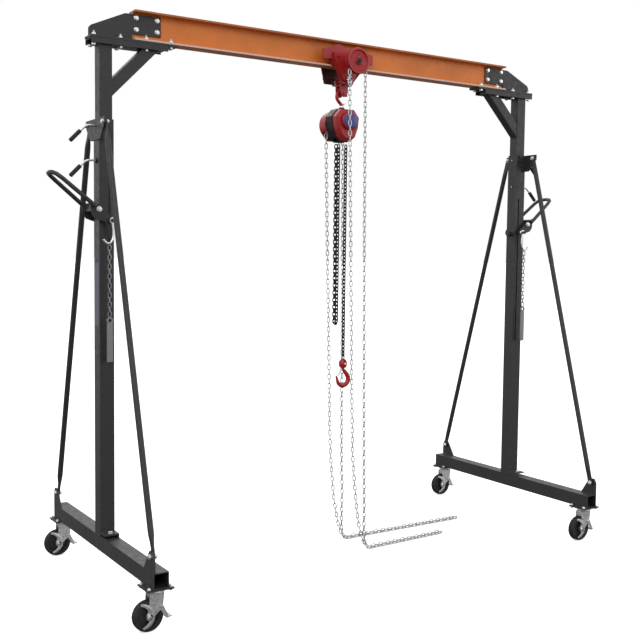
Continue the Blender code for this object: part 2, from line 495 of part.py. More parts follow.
arc = disc(HX, HZ + 0.004, 0.0740, 28, 0.96, math.radians(-68))[:24]
cover = [(HX + 0.028, HZ - 0.072)] + arc + [(HX - 0.028, HZ - 0.072)]
inner = disc(HX, HZ + 0.004, 0.0690, 28, 0.96)
solid(
    "hoist_wheel_cover", "red", [prism(cover, "y", 0.0344, 0.0860)],
    [prism(inner, "y", 0.0300, 0.0810), box(HX - 0.0640, HX + 0.0640, 0.0300, 0.0740, 1.98, HZ - 0.030)],
)

hy = HAND_Y
profile = [(hy - 0.0160, 0.014), (hy - 0.0120, 0.018), (hy - 0.0115, 0.0560), (hy - 0.0085, 0.0600), (hy - 0.0015, 0.0415),
           (hy + 0.0015, 0.0415), (hy + 0.0085, 0.0600), (hy + 0.0115, 0.0560), (hy + 0.0120, 0.018), (hy + 0.0160, 0.014)]
solid("hoist_hand_wheel", "zinc", [lathe("y", HX, HZ, profile, 36)], pivot=(HX, hy, HZ))

# Load sheave with its shaft.
profile = [(-0.0215, 0.0070), (-0.0130, 0.0070), (-0.0129, 0.0240), (-0.0035, 0.0240), (-0.0030, 0.0160),
           (0.0030, 0.0160), (0.0035, 0.0240), (0.0129, 0.0240), (0.0130, 0.0070), (0.0330, 0.0070)]
solid("load_sheave", "black_steel", [lathe("y", HX, HZ, profile, 30)], pivot=(HX, 0, HZ))

# Top hook: the bowl goes over the yoke's pin, and the stem turns in the frame's collar.
bowl = [(HX, 0, 2.1700), (HX, 0, 2.1860), (HX, 0, 2.1980), (HX - 0.0040, 0, 2.2070)]
for a in range(225, 24, -20):
    c, d = math.cos(math.radians(a)), math.sin(math.radians(a))
    bowl.append((HX + 0.0285 * c, 0, 2.2430 + 0.0285 * d))
bowl.append((HX + 0.0285, 0, 2.2460))
radii = [0.0066, 0.0066, 0.0070, 0.0080] + [0.0082] * (len(bowl) - 6) + [0.0070, 0.0050]
radii = [r for r in radii[:-1] for _ in range(2)] + [radii[-1]]
nut = prism(disc(HX, 0, 0.0120, 6), "z", 2.1640, 2.1728)
solid("top_hook", "red", [bar(smooth(bowl, 2), radii, 12), nut,
                          lathe("z", HX, 0, [(2.1906, 0.0125), (2.1960, 0.0125), (2.2010, 0.0090)], 20)], pivot=(HX, 0, 2.190))
gate = [(HX + 0.0105, 2.2085), (HX + 0.0150, 2.2070), (HX + 0.0345, 2.2360), (HX + 0.0330, 2.2390)]
solid("top_latch", "zinc", [prism(gate, "y", -0.0060, 0.0060)], pivot=(HX + 0.0125, 0, 2.2085))

# Bottom hook: swivel block, and a bowl that opens to the left.
bx, bz = HOOK_X, HOOK_Z
profile = [(0.9480, 0.0100), (0.9430, 0.0165), (0.9320, 0.0212), (0.9180, 0.0212), (0.9070, 0.0165), (0.9036, 0.0120)]
slot = box(bx - 0.0045, bx + 0.0045, -0.03, 0.03, 0.9330, 0.96)
solid("hook_block", "red", [lathe("z", bx, 0, profile, 24)], [slot, rod("z", bx, 0, 0.0080, 0.88, 0.9220, 16)],
      pivot=(bx, 0, 0.925))
route = [(bx, 0, 0.9215), (bx, 0, 0.9020), (bx + 0.001, 0, 0.8960), (bx + 0.0130, 0, 0.8835)]
for a in range(41, -173, -21):
    c, d = math.cos(math.radians(a)), math.sin(math.radians(a))
    route.append((bx + HOOK_R * c, 0, bz + HOOK_R * d))
route.append((bx - 0.0395, 0, bz + 0.0170))
radii = [0.0070, 0.0072, 0.0082, 0.0100] + [0.0118] * (len(route) - 8) + [0.0108, 0.0094, 0.0074, 0.0046]
radii = [r for r in radii[:-1] for _ in range(2)] + [radii[-1]]
solid("bottom_hook", "red", [bar(smooth(route, 2), radii, 12)], pivot=(bx, 0, 0.903))
gate = [(bx - 0.0130, 0.8980), (bx - 0.0085, 0.8955), (bx - 0.0262, 0.8625), (bx - 0.0296, 0.8648)]
solid("bottom_latch", "zinc", [prism(gate, "y", -0.0065, 0.0065)], pivot=(bx - 0.0110, 0, 0.8965))

# ---------------------------------------------------------------- chains
cord("load_chain", "black_steel", line((HOOK_X, 0, CHAIN_TOP), (HOOK_X, 0, 0.9490), 22), LOAD_CHAIN_D)


def tail_loop():
    """The slack end of the load chain: down from the sheave, round a tight bend, and up to its anchor on the frame."""
    centre = TAIL_Z + LOAD_CHAIN_D / 2 + TAIL_SPREAD
    low = [(TAIL_X, TAIL_Y - TAIL_SPREAD * math.cos(a), centre - TAIL_SPREAD * math.sin(a))
           for a in (math.pi * i / 6 for i in range(7))]
    down = line((TAIL_X, TAIL_Y - TAIL_SPREAD, CHAIN_TOP), low[0], 10)
    return down + low[1:-1] + line(low[-1], (TAIL_X, TAIL_Y + TAIL_SPREAD, CHAIN_TOP), 10)


cord("load_chain_tail", "black_steel", tail_loop(), LOAD_CHAIN_D)


def hand_chain(name, strands, near, far, spread):
    """An endless chain: down one side of its wheel, out along the floor, and back up the other side."""
    down, up = strands
    z = HAND_CHAIN_D / 2 + 0.001
    near, far = Vector((*near, z)), Vector((*far, z))
    way = (far - near).normalized()
    side = Vector((way.y, -way.x, 0)) * spread  # towards the front
    steps = (0.10, 0.35, 0.65, 0.90)
    route = [Vector(p) for p in down] + [near + side - way * 0.006 + Vector((0, 0, 0.006)), near + side + way * 0.016]
    route += [near.lerp(far, k) + side for k in steps] + [far + side - way * 0.008, far + way * 0.004, far - side - way * 0.008]
    route += [near.lerp(far, k) - side for k in reversed(steps)]
    route += [near - side + way * 0.020, near - side + way * 0.002 + Vector((0, 0, 0.008))] + [Vector(p) for p in reversed(up)]
    cord(name, "zinc", [tuple(p) for p in route], HAND_CHAIN_D)


def plane(y, points):
    return [(u, y, z) for u, z in points]


LEFT, RIGHT, y = HX - HAND_R, HX + HAND_R, HAND_Y
down = plane(y, [(LEFT, 2.066), (LEFT + 0.0168, 1.490), (LEFT + 0.0313, 1.040), (LEFT + 0.0473, 0.530)])
down += [(0.0373, y, 0.263), (0.0540, y, 0.165), (0.0715, y - 0.001, 0.085), (0.0870, y - 0.003, 0.042)]
up = plane(y, [(RIGHT, 2.066), (RIGHT + 0.010, 1.240), (RIGHT + 0.0185, 0.520)])
up += [(0.0942, y + 0.003, 0.2575), (0.1000, y + 0.012, 0.075)]
hand_chain("hoist_hand_chain", (down, up), (0.112, 0.0665), (0.880, 0.0760), 0.0110)

LEFT, RIGHT, y = TX - TROLLEY_WHEEL_R, TX + TROLLEY_WHEEL_R, TROLLEY_WHEEL_Y
down = plane(y, [(LEFT, 2.351), (LEFT + 0.012, 1.850), (LEFT + 0.028, 1.200), (0.0169, 0.563)])
down += [(0.0310, y, 0.370), (0.0549, y, 0.1736), (0.0740, y - 0.001, 0.092), (0.0900, y - 0.002, 0.046)]
up = plane(y, [(RIGHT, 2.351), (RIGHT + 0.010, 1.400), (0.0868, 0.556)])
up += [(0.0957, y + 0.003, 0.2333), (0.1040, y + 0.012, 0.0800)]
hand_chain("trolley_hand_chain", (down, up), (0.116, -0.1320), (0.615, -0.1050), 0.0110)
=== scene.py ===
"""Looks for the gantry crane: linked chains, fasteners, welds, castors, trolley and hoist detail, and finishes.
Metres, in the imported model's own frame: X along the beam, Y along the floor beams, Z up, floor at z = 0."""

import json
import math

import bmesh
import bpy
from mathutils import Matrix, Vector


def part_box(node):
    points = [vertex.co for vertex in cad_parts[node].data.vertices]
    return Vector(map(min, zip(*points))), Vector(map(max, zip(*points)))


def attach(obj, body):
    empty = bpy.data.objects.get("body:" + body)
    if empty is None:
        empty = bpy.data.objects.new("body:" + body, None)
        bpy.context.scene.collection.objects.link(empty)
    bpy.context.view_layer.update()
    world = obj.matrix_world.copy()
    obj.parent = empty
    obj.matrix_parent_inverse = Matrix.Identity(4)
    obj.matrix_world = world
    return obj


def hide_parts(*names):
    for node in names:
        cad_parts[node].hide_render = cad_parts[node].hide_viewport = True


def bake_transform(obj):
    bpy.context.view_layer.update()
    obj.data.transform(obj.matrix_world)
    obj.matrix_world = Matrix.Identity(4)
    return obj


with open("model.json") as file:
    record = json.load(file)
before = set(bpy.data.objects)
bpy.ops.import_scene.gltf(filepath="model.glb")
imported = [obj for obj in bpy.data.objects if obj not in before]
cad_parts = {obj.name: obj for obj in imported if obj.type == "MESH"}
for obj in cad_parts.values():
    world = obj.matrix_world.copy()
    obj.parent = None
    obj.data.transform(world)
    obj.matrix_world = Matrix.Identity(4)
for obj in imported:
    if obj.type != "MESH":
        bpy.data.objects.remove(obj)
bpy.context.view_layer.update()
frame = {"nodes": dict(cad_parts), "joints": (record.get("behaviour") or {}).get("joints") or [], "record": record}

# ---------- sizes taken from the frame, or shared with it
SLOT_OF = {part["node"]: part["material_slot"] for part in frame["record"]["subparts"]}
PIVOT = {joint["name"]: Vector(joint["pos_m"]) for joint in frame["joints"] if joint.get("pos_m")}
SIDES = ((-1, "left"), (1, "right"))
ENDS = ((-1, "front"), (1, "back"))
POST_X = PIVOT["swivel_right_front"].x
POST_HALF = 0.0325
BASE_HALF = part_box("left_base_beam")[1].y
BASE_TOP, FOOT_TAB_TOP = 0.241, 0.259
PIN_HEIGHTS = {"upper": 2.004, "lower": 1.858}
STAY_TOP, STAY_FOOT = (0.098, 2.012), (0.582, 0.300)
BEAM_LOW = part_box("i_beam")[0]
FLANGE, WEB_HALF = 0.009, 0.003
SEAT_UNDER, SEAT_TOP, CHANNEL_UNDER = 2.366, 2.3766, 2.343
CASTOR_Y, PLATE_TOP, PLATE_UNDER = 0.560, 0.1755, 0.169
WHEEL_R, WHEEL_HALF = 0.0625, 0.016
LIFT_Y = -0.072
HX, HZ = PIVOT["hoist_wheel_spin"].x, PIVOT["hoist_wheel_spin"].z
TX = HX
PINION_Z, TROLLEY_WHEEL_Y = PIVOT["trolley_wheel_spin"].z, PIVOT["trolley_wheel_spin"].y
LOAD_BAR_Z = PIVOT["yoke_swing"].z
HOOK_X, HOOK_Z, HOOK_R = 0.046, 0.8475, 0.0325
TAIL_X, TAIL_Z, TAIL_Y, TAIL_SPREAD = 0.000, 1.116, 0.006, 0.012
CHAIN_TOP, BLOCK_TOP = 2.010, 0.949

# ---------- camera
EYE = Vector((-2.683, -4.027, 1.474))
YAW, PITCH, ROLL, LENS = math.radians(32.74), math.radians(3.895), math.radians(0.678), 54.77

forward = Vector((math.sin(YAW) * math.cos(PITCH), math.cos(YAW) * math.cos(PITCH), -math.sin(PITCH)))
level = Vector((math.cos(YAW), -math.sin(YAW), 0))
upright = level.cross(forward)
right = level * math.cos(ROLL) + upright * math.sin(ROLL)
top = right.cross(forward)
lens = bpy.data.cameras.new("camera")
lens.lens, lens.sensor_width, lens.clip_end = LENS, 36, 200
camera = bpy.data.objects.new("camera", lens)
camera.matrix_world = Matrix.Translation(EYE) @ Matrix((right, top, -forward)).transposed().to_4x4()
bpy.context.scene.collection.objects.link(camera)
bpy.context.scene.camera = camera


# ---------- materials
class Look:
    """A Principled material, with short calls for the nodes that feed it."""

    def __init__(self, name, colour, metallic=0.0, roughness=0.5, coat=0.0):
        self.material = bpy.data.materials.new(name)
        self.material.use_nodes = True
        self.tree = self.material.node_tree
        self.shader = self.tree.nodes["Principled BSDF"]
        self.shader.inputs["Base Color"].default_value = (*colour, 1)
        self.shader.inputs["Metallic"].default_value = metallic
        self.shader.inputs["Roughness"].default_value = roughness
        self.shader.inputs["Coat Weight"].default_value = coat
        self.shader.inputs["Coat Roughness"].default_value = 0.18
        self.place = self.node("TexCoord").outputs["Object"]

    def node(self, kind, inputs=None, **settings):
        made = self.tree.nodes.new("ShaderNode" + kind)
        for key, value in settings.items():
            setattr(made, key, value)
        for key, value in (inputs or {}).items():
            if isinstance(value, bpy.types.NodeSocket):
                self.tree.links.new(value, made.inputs[key])
            else:
                made.inputs[key].default_value = value
        return made

    def noise(self, scale, detail=3.0, rough=0.55, place=None):
        inputs = {"Vector": place or self.place, "Scale": scale, "Detail": detail, "Roughness": rough}
        return self.node("TexNoise", inputs).outputs["Fac"]

    def stretched(self, x, y, z):
        return self.node("Mapping", {"Vector": self.place, "Scale": (x, y, z)}).outputs["Vector"]

    def ranged(self, value, low, high, out_low, out_high):
        inputs = {"Value": value, "From Min": low, "From Max": high, "To Min": out_low, "To Max": out_high}
        return self.node("MapRange", inputs, clamp=True).outputs["Result"]

    def times(self, a, b):
        return self.node("Math", {0: a, 1: b}, operation="MULTIPLY", use_clamp=True).outputs[0]

    def mix(self, factor, a, b):
        made = self.node("Mix", data_type="RGBA")
        for index, value in ((0, factor), (6, a), (7, b)):
            if isinstance(value, bpy.types.NodeSocket):
                self.tree.links.new(value, made.inputs[index])
            elif index == 0:
                made.inputs[index].default_value = value
            else:
                made.inputs[index].default_value = (*value, 1)
        return made.outputs[2]

    def blotches(self, noise, dark, light):
        return self.mix(self.ranged(noise, 0.3, 0.7, 0.0, 1.0), dark, light)

    def edges(self, radius, scale):
        """1 along worn edges, broken up by noise, and 0 on the flats."""
        rounded = self.node("Bevel", {"Radius": radius}, samples=4).outputs["Normal"]
        straight = self.node("NewGeometry").outputs["Normal"]
        facing = self.node("VectorMath", {0: rounded, 1: straight}, operation="DOT_PRODUCT").outputs["Value"]
        broken = self.ranged(self.noise(scale), 0.46, 0.60, 0.0, 1.0)
        return self.times(self.ranged(facing, 0.80, 0.995, 1.0, 0.0), broken)

    def upward(self):
        """How far the surface faces up, from -1 to 1."""
        return self.node("SeparateXYZ", {"Vector": self.node("NewGeometry").outputs["Normal"]}).outputs["Z"]

    def facing_up(self):
        return self.ranged(self.upward(), 0.55, 1.0, 0.0, 1.0)

    def facing_sideways(self):
        tilt = self.node("Math", {0: self.upward()}, operation="ABSOLUTE").outputs[0]
        return self.ranged(tilt, 0.3, 0.6, 1.0, 0.0)

    def bumps(self, *layers):
        """Layers are (height, strength, distance), the coarsest first."""
        normal = None
        for height, strength, distance in layers:
            inputs = {"Height": height, "Strength": strength, "Distance": distance}
            if normal is not None:
                inputs["Normal"] = normal
            normal = self.node("Bump", inputs).outputs["Normal"]
        self.tree.links.new(normal, self.shader.inputs["Normal"])

    def feed(self, socket, value):
        self.tree.links.new(value, self.shader.inputs[socket])


def shade(colour, factor):
    """A colour made lighter or darker."""
    return tuple(min(1.0, channel * factor) for channel in colour)


def powder_coat(name, colour, worn, roughness=0.42, dust=(0.20, 0.20, 0.19), dust_share=0.10, coat=0.0,
                peel=420, painted_light_bands=()):
    """Sprayed paint: a slight orange peel, uneven gloss, dust on top faces, and chips along the edges.
    Bands are painted light or shade, as (low, high, colour, share) over the piece's own height, on its upright
    faces only."""
    look = Look(name, colour, 0.0, roughness, coat)
    tone = look.blotches(look.noise(5.0, 4.0), shade(colour, 0.86), shade(colour, 1.14))
    specks = look.ranged(look.noise(260.0, 2.0), 0.60, 0.72, 0.0, 0.35)
    tone = look.mix(specks, tone, shade(colour, 1.5))
    settled = look.times(look.facing_up(), look.ranged(look.noise(24.0, 5.0), 0.35, 0.75, 0.0, dust_share))
    tone = look.mix(settled, tone, dust)
    # Painted light and shade: each band mixes a lighter or darker colour over a height range of the upright faces.
    for low, high, painted_light_colour, share in painted_light_bands:
        height = look.node("SeparateXYZ", {"Vector": look.node("TexCoord").outputs["Generated"]}).outputs["Z"]
        above = look.ranged(height, low - 0.008, low, 0.0, 1.0)
        below = look.ranged(height, high, high + 0.008, 1.0, 0.0)
        patchy = look.ranged(look.noise(55.0, 5.0), 0.30, 0.55, 0.55, 1.0)
        strength = look.times(look.times(above, below), look.facing_sideways())
        strength = look.times(strength, look.times(patchy, share))
        tone = look.mix(strength, tone, painted_light_colour)
    chips = look.edges(0.0022, 95.0)
    look.feed("Base Color", look.mix(look.times(chips, 0.55), tone, worn))
    look.feed("Roughness", look.ranged(look.noise(38.0, 4.0), 0.25, 0.75, roughness - 0.10, roughness + 0.13))
    look.bumps((look.noise(peel, 2.0), 0.22, 0.0006), (look.noise(1700.0, 1.0), 0.10, 0.0002))
    return look.material


def plated(name, colour, roughness=0.33, tint=(0.80, 0.74, 0.60), grime=(0.24, 0.23, 0.21)):
    """Zinc plate: fine crystal patches, a warm passivate tint in places, and grime in random patches."""
    look = Look(name, colour, 1.0, roughness)
    cells = look.node("TexVoronoi", {"Vector": look.place, "Scale": 330.0}).outputs["Color"]
    grain = look.node("SeparateColor", {"Color": cells}).outputs[0]
    tone = look.mix(look.ranged(grain, 0.0, 1.0, 0.0, 0.30), colour, shade(colour, 0.78))
    tone = look.mix(look.ranged(look.noise(30.0, 3.0), 0.45, 0.75, 0.0, 0.35), tone, tint)
    dirt = look.ranged(look.noise(70.0, 6.0), 0.50, 0.78, 0.0, 0.22)
    look.feed("Base Color", look.mix(dirt, tone, grime))
    look.feed("Roughness", look.ranged(look.noise(150.0, 4.0), 0.3, 0.7, roughness - 0.09, roughness + 0.17))
    look.bumps((look.noise(520.0, 3.0), 0.06, 0.0003))
    return look.material


def oiled_steel(name, colour, worn, roughness=0.38):
    """Blackened steel: oily smears, and bright metal where pieces rub."""
    look = Look(name, colour, 0.75, roughness)
    tone = look.blotches(look.noise(45.0, 4.0), shade(colour, 0.7), shade(colour, 1.5))
    look.feed("Base Color", look.mix(look.edges(0.0014, 160.0), tone, worn))
    look.feed("Roughness", look.ranged(look.noise(90.0, 4.0), 0.3, 0.7, roughness - 0.12, roughness + 0.16))
    look.bumps((look.noise(640.0, 3.0), 0.20, 0.0004))
    return look.material


def rubber(name, colour, roughness=0.72, dusty=(0.11, 0.105, 0.10)):
    """Moulded rubber: matt, finely pitted, with grey dust rubbed into it."""
    look = Look(name, colour, 0.0, roughness)
    scuffs = look.ranged(look.noise(60.0, 6.0, 0.65, look.stretched(1.0, 3.0, 1.0)), 0.50, 0.72, 0.0, 0.55)
    tone = look.blotches(look.noise(14.0), shade(colour, 0.8), shade(colour, 1.35))
    look.feed("Base Color", look.mix(scuffs, tone, dusty))
    look.feed("Roughness", look.ranged(look.noise(120.0), 0.3, 0.7, roughness - 0.1, roughness + 0.12))
    look.bumps((look.noise(900.0, 3.0), 0.35, 0.0005))
    return look.material


def moulded(name, colour, roughness=0.4):
    """Plain moulded plastic or enamel, with faint flow marks and small scratches."""
    look = Look(name, colour, 0.0, roughness, 0.25)
    flow = look.noise(16.0, 4.0, 0.6, look.stretched(1.0, 1.0, 4.0))
    look.feed("Base Color", look.blotches(flow, shade(colour, 0.82), shade(colour, 1.2)))
    scratch = look.noise(210.0, 5.0, 0.7, look.stretched(7.0, 1.0, 1.0))
    look.feed("Roughness", look.ranged(scratch, 0.3, 0.75, roughness - 0.08, roughness + 0.2))
    look.bumps((look.noise(700.0), 0.12, 0.0003))
    return look.material


CHARCOAL = powder_coat("charcoal_powder_coat", (0.021, 0.021, 0.022), (0.16, 0.15, 0.14), 0.46)
# Painted reflection: a pale band on the lower flange's upright faces, where the white floor would show in the
# paint.
PAINTED_REFLECTION_LOWER_FLANGE = (-0.1, 0.070, (0.62, 0.56, 0.50), 0.85)
# Painted shade: a dark brown band on the upper flange's upright faces, where the flange's edge and underside fall
# in shade.
PAINTED_SHADE_UPPER_FLANGE = (0.930, 1.1, (0.16, 0.07, 0.045), 0.6)
ORANGE = powder_coat("orange_powder_coat", (0.64, 0.175, 0.022), (0.30, 0.10, 0.04), 0.50, (0.52, 0.42, 0.34),
                     0.20, painted_light_bands=(PAINTED_REFLECTION_LOWER_FLANGE, PAINTED_SHADE_UPPER_FLANGE))
CAST_PEEL = 230
RED = powder_coat("red_cast_paint", (0.36, 0.006, 0.009), (0.20, 0.09, 0.08), 0.40, (0.34, 0.10, 0.09), 0.10,
                  0.15, CAST_PEEL)
ZINC = plated("zinc_plate", (0.86, 0.86, 0.88), 0.30)
BRIGHT = plated("bright_zinc_chain", (0.60, 0.60, 0.615), 0.34, (0.62, 0.60, 0.55), (0.15, 0.147, 0.142))
DULL = plated("dull_grey_steel", (0.30, 0.30, 0.31), 0.42, (0.30, 0.28, 0.25), (0.07, 0.068, 0.066))
BLACK = oiled_steel("oiled_black_steel", (0.022, 0.022, 0.024), (0.22, 0.21, 0.20))
RUBBER = rubber("black_rubber", (0.009, 0.009, 0.010), 0.66, (0.045, 0.043, 0.041))
HUB = moulded("dark_hub_plastic", (0.022, 0.022, 0.024), 0.42)
STRIP = moulded("muted_violet_film", (0.062, 0.058, 0.108), 0.5)
BLUE = moulded("blue_enamel", (0.035, 0.045, 0.24), 0.32)
# Painted shade: a near-black copy of the red paint for the trolley's back plate, whose inner face falls in shade.
PAINTED_SHADE_RED = powder_coat("painted_shade_red_paint", (0.050, 0.008, 0.009), (0.10, 0.07, 0.06), 0.45, (0.10, 0.05, 0.045),
                     0.10, 0.1, CAST_PEEL)
OWN_LOOK = {"trolley_plate_back": PAINTED_SHADE_RED, "left_lift_bar": DULL, "right_lift_bar": DULL}
LOOKS = {"frame_paint": CHARCOAL, "beam_paint": ORANGE, "hoist_paint": RED, "zinc": ZINC,
         "black_steel": BLACK, "tyre_rubber": RUBBER}


# ---------- shapes: each is (verts, faces)
def placed(axis, a, b, c):
    """(a, b) across an axis and c along it, as a point."""
    return {"x": (c, a, b), "y": (a, c, b), "z": (a, b, c)}[axis]


def disc(u, v, radius, count=24):
    """Points round a circle."""
    step = 2 * math.pi / count
    return [(u + radius * math.cos(i * step), v + radius * math.sin(i * step)) for i in range(count)]


def arc(cu, cv, radius, degrees):
    """Points on a circle, as (u, v), at these angles."""
    return [(cu + radius * math.cos(a), cv + radius * math.sin(a)) for a in map(math.radians, degrees)]


def prism(points, axis, low, high):
    """An outline drawn out along an axis."""
    n = len(points)
    verts = [placed(axis, u, v, low) for u, v in points] + [placed(axis, u, v, high) for u, v in points]
    faces = [tuple(range(n)), tuple(range(2 * n - 1, n - 1, -1))]
    return verts, faces + [(i, (i + 1) % n, n + (i + 1) % n, n + i) for i in range(n)]


def box(x0, x1, y0, y1, z0, z1):
    return prism([(x0, y0), (x1, y0), (x1, y1), (x0, y1)], "z", z0, z1)


def rings(loops, closed_ends=True):
    """Faces over equal loops of points, capped at both ends."""
    n = len(loops[0])
    faces = []
    for k in range(0, (len(loops) - 1) * n, n):
        faces += [(k + i, k + (i + 1) % n, k + n + (i + 1) % n, k + n + i) for i in range(n)]
    last = (len(loops) - 1) * n
    if closed_ends:
        faces += [tuple(range(n - 1, -1, -1)), tuple(range(last, last + n))]
    return [p for loop in loops for p in loop], faces


def lathe(axis, u, v, profile, count=48):
    """A solid of revolution: profile is (distance along the axis, radius), from one end to the other."""
    loops = [[placed(axis, a, b, along) for a, b in disc(u, v, radius, count)] for along, radius in profile]
    return rings(loops)


def ringed(axis, u, v, profile, count=48):
    """A hollow turned piece: its profile is a closed loop of (distance along the axis, radius)."""
    loops = [[placed(axis, a, b, along) for a, b in disc(u, v, radius, count)] for along, radius in profile]
    return rings(loops + loops[:1], closed_ends=False)


def smooth(points, per_span=6):
    """Catmull-Rom points through a route."""
    pts = [Vector(p) for p in points]
    pts = [2 * pts[0] - pts[1]] + pts + [2 * pts[-1] - pts[-2]]
    out = []
    for a, b, c, d in zip(pts, pts[1:], pts[2:], pts[3:]):
        for k in range(per_span):
            t = k / per_span
            spread = (2 * a - 5 * b + 4 * c - d) * t**2 + (3 * b - a - 3 * c + d) * t**3
            out.append(0.5 * (2 * b + (c - a) * t + spread))
    return out + [pts[-2]]


def along(points, step):
    """Points a step apart along a route, by arc length."""
    pts = [Vector(p) for p in points]
    reach = [0.0]
    for a, b in zip(pts, pts[1:]):
        reach.append(reach[-1] + (b - a).length)
    count = max(1, round(reach[-1] / step))
    out, k = [], 0
    for i in range(count + 1):
        want = reach[-1] * i / count
        while k < len(pts) - 2 and reach[k + 1] < want:
            k += 1
        out.append(pts[k].lerp(pts[k + 1], (want - reach[k]) / max(reach[k + 1] - reach[k], 1e-9)))
    return out


def bar(points, radius, count=16):
    """A round bar along a route; radius is one number, or one for each point."""
    pts = [Vector(p) for p in points]
    radii = radius if isinstance(radius, (list, tuple)) else [radius] * len(pts)
    loops = []
    side = None
    for i, (p, r) in enumerate(zip(pts, radii)):
        way = (pts[min(i + 1, len(pts) - 1)] - pts[max(i - 1, 0)]).normalized()
        side = way.orthogonal() if side is None else side - way * side.dot(way)
        side.normalize()
        other = way.cross(side)
        turns = [2 * math.pi * j / count for j in range(count)]
        loops.append([tuple(p + r * (math.cos(a) * side + math.sin(a) * other)) for a in turns])
    return rings(loops)


def moved(shape, matrix):
    return [tuple(matrix @ Vector(v)) for v in shape[0]], shape[1]


def facing(at, way):
    """A matrix that takes +Z to a direction, and the origin to a point."""
    return Matrix.Translation(Vector(at)) @ Vector(way).to_track_quat("Z", "Y").to_matrix().to_4x4()


def piece(name, shapes, material, body, angle=38, soften=0.0):
    """One visible piece made of these shapes, riding on a body."""
    verts, faces = [], []
    for shape_verts, shape_faces in shapes:
        start = len(verts)
        verts += shape_verts
        faces += [tuple(start + i for i in face) for face in shape_faces]
    mesh = bpy.data.meshes.new(name)
    mesh.from_pydata(verts, [], faces)
    work = bmesh.new()
    work.from_mesh(mesh)
    bmesh.ops.recalc_face_normals(work, faces=work.faces)
    if soften:
        paired = [e for e in work.edges if len(e.link_faces) == 2]
        sharp = [e for e in paired if e.calc_face_angle(0) > math.radians(angle)]
        bmesh.ops.bevel(work, geom=sharp, offset=soften, segments=2, profile=0.6, affect="EDGES",
                        clamp_overlap=True)
    work.to_mesh(mesh)
    work.free()
    mesh.shade_smooth()
    mesh.set_sharp_from_angle(angle=math.radians(angle))
    mesh.materials.append(material)
    obj = bpy.data.objects.new(name, mesh)
    bpy.context.scene.collection.objects.link(obj)
    if body:
        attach(obj, body)
    return obj


# ---------- chains
def link_shape(pitch, wire, width, count=9, sides=8):
    """One welded link, lying along Z and flat in XZ, with its weld swelling half way down one side."""
    half, straight = (width - wire) / 2, pitch + wire - (width - wire)
    line = []
    for sign in (1, -1):
        for i in range(count):
            a = math.pi * i / (count - 1) - (0 if sign > 0 else math.pi)
            line.append(Vector((half * math.cos(a), 0, sign * straight / 2 + half * math.sin(a))))
        line.append(Vector((-half * sign, 0, 0)))
    n, loops = len(line), []
    for i, p in enumerate(line):
        way = (line[(i + 1) % n] - line[i - 1]).normalized()
        out = Vector((way.z, 0, -way.x))
        r = wire / 2 * (1.10 if i == n - 1 else 1.0)
        turns = [2 * math.pi * j / sides for j in range(sides)]
        loops.append([tuple(p + r * (math.cos(a) * out + math.sin(a) * Vector((0, 1, 0)))) for a in turns])
    return rings(loops + loops[:1], closed_ends=False)


def link_row(route, pitch, wire, width, roll=0.0):
    """Links end to end along a route, each a quarter turn from the last."""
    link = link_shape(pitch, wire, width)
    stops = along(route, pitch)
    side, shapes = Vector((1, 0, 0)), []
    for i, (a, b) in enumerate(zip(stops, stops[1:])):
        way = (b - a).normalized()
        side = (side - way * side.dot(way)).normalized()
        turn = Matrix.Rotation(roll + (math.pi / 2 if i % 2 else 0), 3, way)
        across = turn @ side
        matrix = Matrix((across, way.cross(across), way)).transposed().to_4x4()
        shapes.append(moved(link, Matrix.Translation((a + b) / 2) @ matrix))
    return shapes


def straight_line(a, b, count):
    """Points that split a straight run into equal steps."""
    return [Vector(a).lerp(Vector(b), i / count) for i in range(count + 1)]


def loop_route(strands, near, far, spread, height):
    """Down one side of a wheel, out along the floor, and back up the other side."""
    down, up = strands
    near, far = Vector((*near, height)), Vector((*far, height))
    way = (far - near).normalized()
    side = Vector((way.y, -way.x, 0)) * spread
    steps = (0.10, 0.35, 0.65, 0.90)
    route = [Vector(p) for p in down]
    route += [near + side - way * 0.006 + Vector((0, 0, 0.006)), near + side + way * 0.016]
    route += [near.lerp(far, k) + side for k in steps]
    route += [far + side - way * 0.008, far + way * 0.004, far - side - way * 0.008]
    route += [near.lerp(far, k) - side for k in reversed(steps)]
    route += [near - side + way * 0.020, near - side + way * 0.002 + Vector((0, 0, 0.008))]
    return route + [Vector(p) for p in reversed(up)]


def in_plane(y, points):
    return [(u, y, z) for u, z in points]


HAND_D, LOAD_D, LIFT_D = 0.017, 0.020, 0.017
HAND_LINK, LOAD_LINK, LIFT_LINK = (0.0240, 0.0046, HAND_D), (0.0180, 0.0058, LOAD_D), (0.0200, 0.0044, LIFT_D)

HOIST_CHAIN_Y, LOOP_SPREAD, ON_FLOOR = 0.060, 0.0110, HAND_D / 2 + 0.001


def hoist_chain_route():
    """The hoist's endless hand chain: both strands lean a little, and the rest lies on the floor."""
    y, left, right_x = HOIST_CHAIN_Y, HX - 0.050, HX + 0.050
    down = in_plane(y, [(left, 2.066), (left + 0.0168, 1.490), (left + 0.0313, 1.040)])
    down += [(left + 0.0473, y, 0.530)]
    down += [(0.0373, y, 0.263), (0.0540, y, 0.165), (0.0715, y - 0.001, 0.085), (0.0870, y - 0.003, 0.042)]
    up = in_plane(y, [(right_x, 2.066), (right_x + 0.010, 1.240), (right_x + 0.0185, 0.520)])
    up += [(0.0942, y + 0.003, 0.2575), (0.1000, y + 0.012, 0.075)]
    return smooth(loop_route((down, up), (0.112, 0.0665), (0.880, 0.0760), LOOP_SPREAD, ON_FLOOR), 8)


